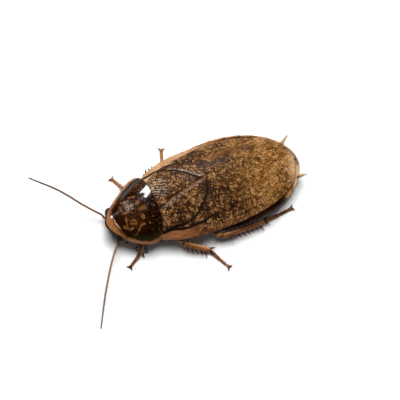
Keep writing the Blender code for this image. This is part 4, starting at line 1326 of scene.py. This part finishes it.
def add_spines(surface, path, knee, ankle, tibia, rows, outward):
    """Rows of three spines along the tibia, and a crown of five round its end."""
    along = unit(ankle - knee)
    out = unit(np.cross(along, (0.0, 0.0, 1.0)))
    out *= math.copysign(1.0, out[0] * outward)
    down = unit(np.cross(along, out))
    down *= -math.copysign(1.0, down[2])
    for k in range(rows):
        at = path[int((0.12 + 0.8 * (k + 0.5) / rows) * (len(path) - 1))]
        inner = (out * 0.35 + down) if k % 2 == 0 else (down * 0.8 - out * 0.7)
        for way, reach in ((out + down * 0.15, 0.75), (inner, 0.75), (-out * 0.8 + down * 0.1, 0.45)):
            way = unit(way)
            reach = reach * rng.uniform(0.85, 1.1)
            tip = at + way * (tibia + reach) + along * reach * 0.6
            tip[2] = max(tip[2], 0.12)
            add_cone(surface, at + way * tibia * 0.8, tip, 0.16 if reach > 0.5 else 0.10, along * -0.03)
    for way in (out, -out, down, -out * 0.6 - down * 0.8, out * 0.7 - down * 0.7):
        tip = ankle + way * (tibia + 0.28) + along * 0.62
        tip[2] = max(tip[2], 0.12)
        add_cone(surface, ankle - along * 0.12 + way * tibia * 0.6, tip, 0.11)


def make_leg(name, limb):
    """Coxa, femur, tibia with its spines, and tarsus."""
    *joints, tibia, rows = LEGS[name]
    base, hip, thigh = bowed(joints[:3])
    knee, ankle, toe = np.array(joints[3:])
    tibia_shade, tarsus_shade, tarsus_width = LEG_LOOKS.get(name, PLAIN_LEG)

    surface = Surface()
    path, width = segment(surface, base, hip, *COXA)
    add_hairs(surface, path, width, count=40, length=0.14, thickness=0.009)
    surface.piece(f"coxa_{name}_horn", limb, [f"coxa_{name}"])

    surface = Surface()
    path, width = segment(surface, thigh, knee, *FEMUR, shade=-0.5, joint=0.15)
    add_hairs(surface, path, width, count=60, length=0.14, thickness=0.009)
    surface.piece(f"femur_{name}_horn", limb, [f"femur_{name}"])

    surface = Surface()
    path, width = segment(surface, knee, ankle, tibia * TIBIA, 0.9 * tibia * TIBIA, 0.05, tibia_shade)
    add_hairs(surface, path, width, count=60, length=0.14, thickness=0.010)
    add_spines(surface, path, knee, ankle, tibia, rows, toe[0])
    surface.piece(f"tibia_{name}_horn", limb, [f"tibia_{name}"])
    make_tarsus(name, ankle, toe, limb, tarsus_shade, tarsus_width)


# Where the toe's five joints begin and end along it
TOE_JOINTS = (0.0, 0.42, 0.56, 0.66, 0.75, 1.0)


def make_tarsus(name, ankle, toe, limb, shade, thick):
    """Five toe joints with soft pads below, a flared end pad and two claws."""
    low = ankle + (toe - ankle) * 0.6
    low[2] = 0.25
    path = smooth_path((ankle, low, toe), 121)
    t = np.linspace(0, 1, len(path))
    radii = np.zeros(len(path))
    dark = np.zeros(len(path))
    for first, last in zip(TOE_JOINTS, TOE_JOINTS[1:]):
        inside = (t >= first) & (t <= last)
        phase = (t[inside] - first) / (last - first)
        radii[inside] = 0.14 + 0.07 * phase ** 1.5 - 0.06 * ease(phase, 0.92, 1.0)
        dark[inside] = 0.75 * np.maximum(ease(phase, 0.12, 0.0), ease(phase, 0.86, 1.0))
    radii *= thick * round_ends(len(path), 0.02, 0.02)
    shade = shade * ease(t, 0.0, 0.4)
    dark = shade + np.maximum(0.0, dark - shade) * np.where(shade < 0, 0.6, 1.0)
    surface = Surface()
    surface.rod(path, radii * 1.1, radii, 20, dark=dark)
    add_hairs(surface, path, radii, count=70, length=0.10, thickness=0.009)
    ahead = unit((toe - low) * (1, 1, 0))
    across = np.array((-ahead[1], ahead[0], 0.0))
    pad = np.linspace(-1, 1, 9)
    pad_radii = 0.1 * np.sqrt(1 - 0.98 * pad ** 2)
    for joint in TOE_JOINTS[1:5]:
        centre = path[int(joint * (len(path) - 1)) - 2]
        spine = centre + ahead * 0.1 * pad[:, None]
        spine[:, 2] = np.maximum(centre[2] - 0.12, 0.065)
        surface.rod(spine, pad_radii, 0.6 * pad_radii, 14, dark=0.1)
    flare = np.linspace(0, 1, 16)
    spine = toe + ahead * (-0.08 + 0.26 * flare[:, None])
    spine[:, 2] = 0.2 - 0.09 * flare
    wide = 0.15 + 0.18 * np.sin(np.pi * np.minimum(1, flare * 0.75)) * round_ends(16, 0.1, 0.25)
    high = 0.1 * round_ends(16, 0.2, 0.2)
    surface.rod(spine, wide, high, 20, grounded=True, dark=0.6 if shade[-1] > 0 else 0.15)
    claw_dark = 0.85 if shade[-1] > -0.5 else 0.3
    for sign in (1, -1):
        start = toe + across * sign * 0.1 + ahead * 0.02
        tip = toe + across * sign * 0.52 + ahead * 0.16
        start[2], tip[2] = 0.24, 0.06
        add_cone(surface, start, tip, 0.10, ahead * 0.12 + (0.0, 0.0, 0.06), 10, 10, claw_dark)
    surface.piece(f"tarsus_{name}_horn", limb, [f"tarsus_{name}"])


# Stage

# Softboxes as name, direction from the shield, distance, size, brightness, roll in degrees, and whether
# they show only as highlights or else only light. Lengths are in metres
LIGHTS = (
    ("key_softbox", (-0.626, 0.418, 0.658), 0.35, (0.14, 0.105), 37.0, -35, True),
    ("top_softbox", (-0.519, -0.076, 0.851), 0.4, (0.10, 0.10), 2.5, 0, True),
    ("front_softbox", (-0.62, -0.51, 0.60), 0.4, (0.07, 0.08), 60.0, 0, True),
    ("fill_softbox", (-0.30, -0.10, 0.95), 0.4, (0.25, 0.25), 12.8, 0, False),
)
LIGHT_AIM = (-1.0, -8.0, 4.5)
WORLD_STRENGTH = 0.035
FLOOR_GLOW = 0.02
FLOOR_REACH = 1.5
WHITE = (1.0, 1.0, 1.0, 1.0)


def aim(obj, place_at, target, roll):
    """Puts an object at a place in metres, looking at a target."""
    obj.location = place_at
    look = (target - place_at).to_track_quat("-Z", "Y").to_matrix().to_4x4()
    obj.rotation_euler = (look @ Matrix.Rotation(roll, 4, "Z")).to_euler()


def add_camera():
    target = Vector(place(CAMERA_AIM))
    flat = math.cos(CAMERA_ELEVATION)
    back = Vector((
        math.sin(CAMERA_AZIMUTH) * flat,
        -math.cos(CAMERA_AZIMUTH) * flat,
        math.sin(CAMERA_ELEVATION),
    ))
    camera = bpy.data.cameras.new("camera")
    camera.sensor_width = SENSOR
    camera.lens = SENSOR * PIXELS_PER_MM * CAMERA_DISTANCE / IMAGE_SIDE
    camera.shift_x = (IMAGE_SIDE / 2 - AIM_PIXEL[0]) / IMAGE_SIDE
    camera.shift_y = (AIM_PIXEL[1] - IMAGE_SIDE / 2) / IMAGE_SIDE
    camera.clip_start = 0.01
    camera.clip_end = 10.0
    obj = add_object("camera", camera)
    aim(obj, target + back * CAMERA_DISTANCE * MM, target, CAMERA_ROLL)
    bpy.context.scene.camera = obj


def add_light(name, direction, distance, size, brightness, roll, highlight):
    light = bpy.data.lights.new(name, "AREA")
    light.shape = "RECTANGLE"
    light.size, light.size_y = size
    light.energy = brightness * math.pi * size[0] * size[1]
    obj = add_object(name, light)
    obj.visible_glossy = highlight
    obj.visible_diffuse = not highlight
    target = Vector(place(LIGHT_AIM))
    aim(obj, target + Vector(direction).normalized() * distance, target, math.radians(roll))


def add_floor():
    mesh = bpy.data.meshes.new("floor")
    corners = [(x * FLOOR_REACH, y * FLOOR_REACH, 0) for x, y in ((-1, -1), (1, -1), (1, 1), (-1, 1))]
    mesh.from_pydata(corners, [], [(0, 1, 2, 3)])
    p = Paint("floor_white", roughness=0.7, specular=0.0)
    p.colour = p.mix(
        p.noise(p.node("TexCoord", "Object", {}, {}), 40.0),
        (0.86, 0.86, 0.86),
        (0.88, 0.88, 0.88),
    )
    p.shader.inputs["Emission Color"].default_value = WHITE
    p.shader.inputs["Emission Strength"].default_value = FLOOR_GLOW
    mesh.materials.append(p.finish())
    add_object("floor", mesh)


def add_stage():
    add_floor()
    world = bpy.data.worlds.new("studio")
    world.use_nodes = True
    background = world.node_tree.nodes["Background"]
    background.inputs["Color"].default_value = WHITE
    background.inputs["Strength"].default_value = WORLD_STRENGTH
    world.cycles_visibility.glossy = False
    bpy.context.scene.world = world
    for light in LIGHTS:
        add_light(*light)
    bpy.context.scene.view_settings.view_transform = "Standard"


def main():
    add_camera()
    add_stage()
    limb, feeler, eye = limb_paint(), feeler_paint(), eye_paint()
    wing = wing_paint()
    make_pronotum(shield_paint())
    make_tegmen("left", wing)
    make_tegmen("right", wing)
    make_abdomen(plate_paint())
    make_thorax(skin_paint())
    make_head(head_paint())
    for name, sign in (("left", 1), ("right", -1)):
        make_eye(name, sign, eye)
        make_antenna(name, limb, feeler)
        make_cercus(name, feeler)
    for name in PALPS:
        make_palp(name, limb)
    for name in LEGS:
        make_leg(name, limb)


main()
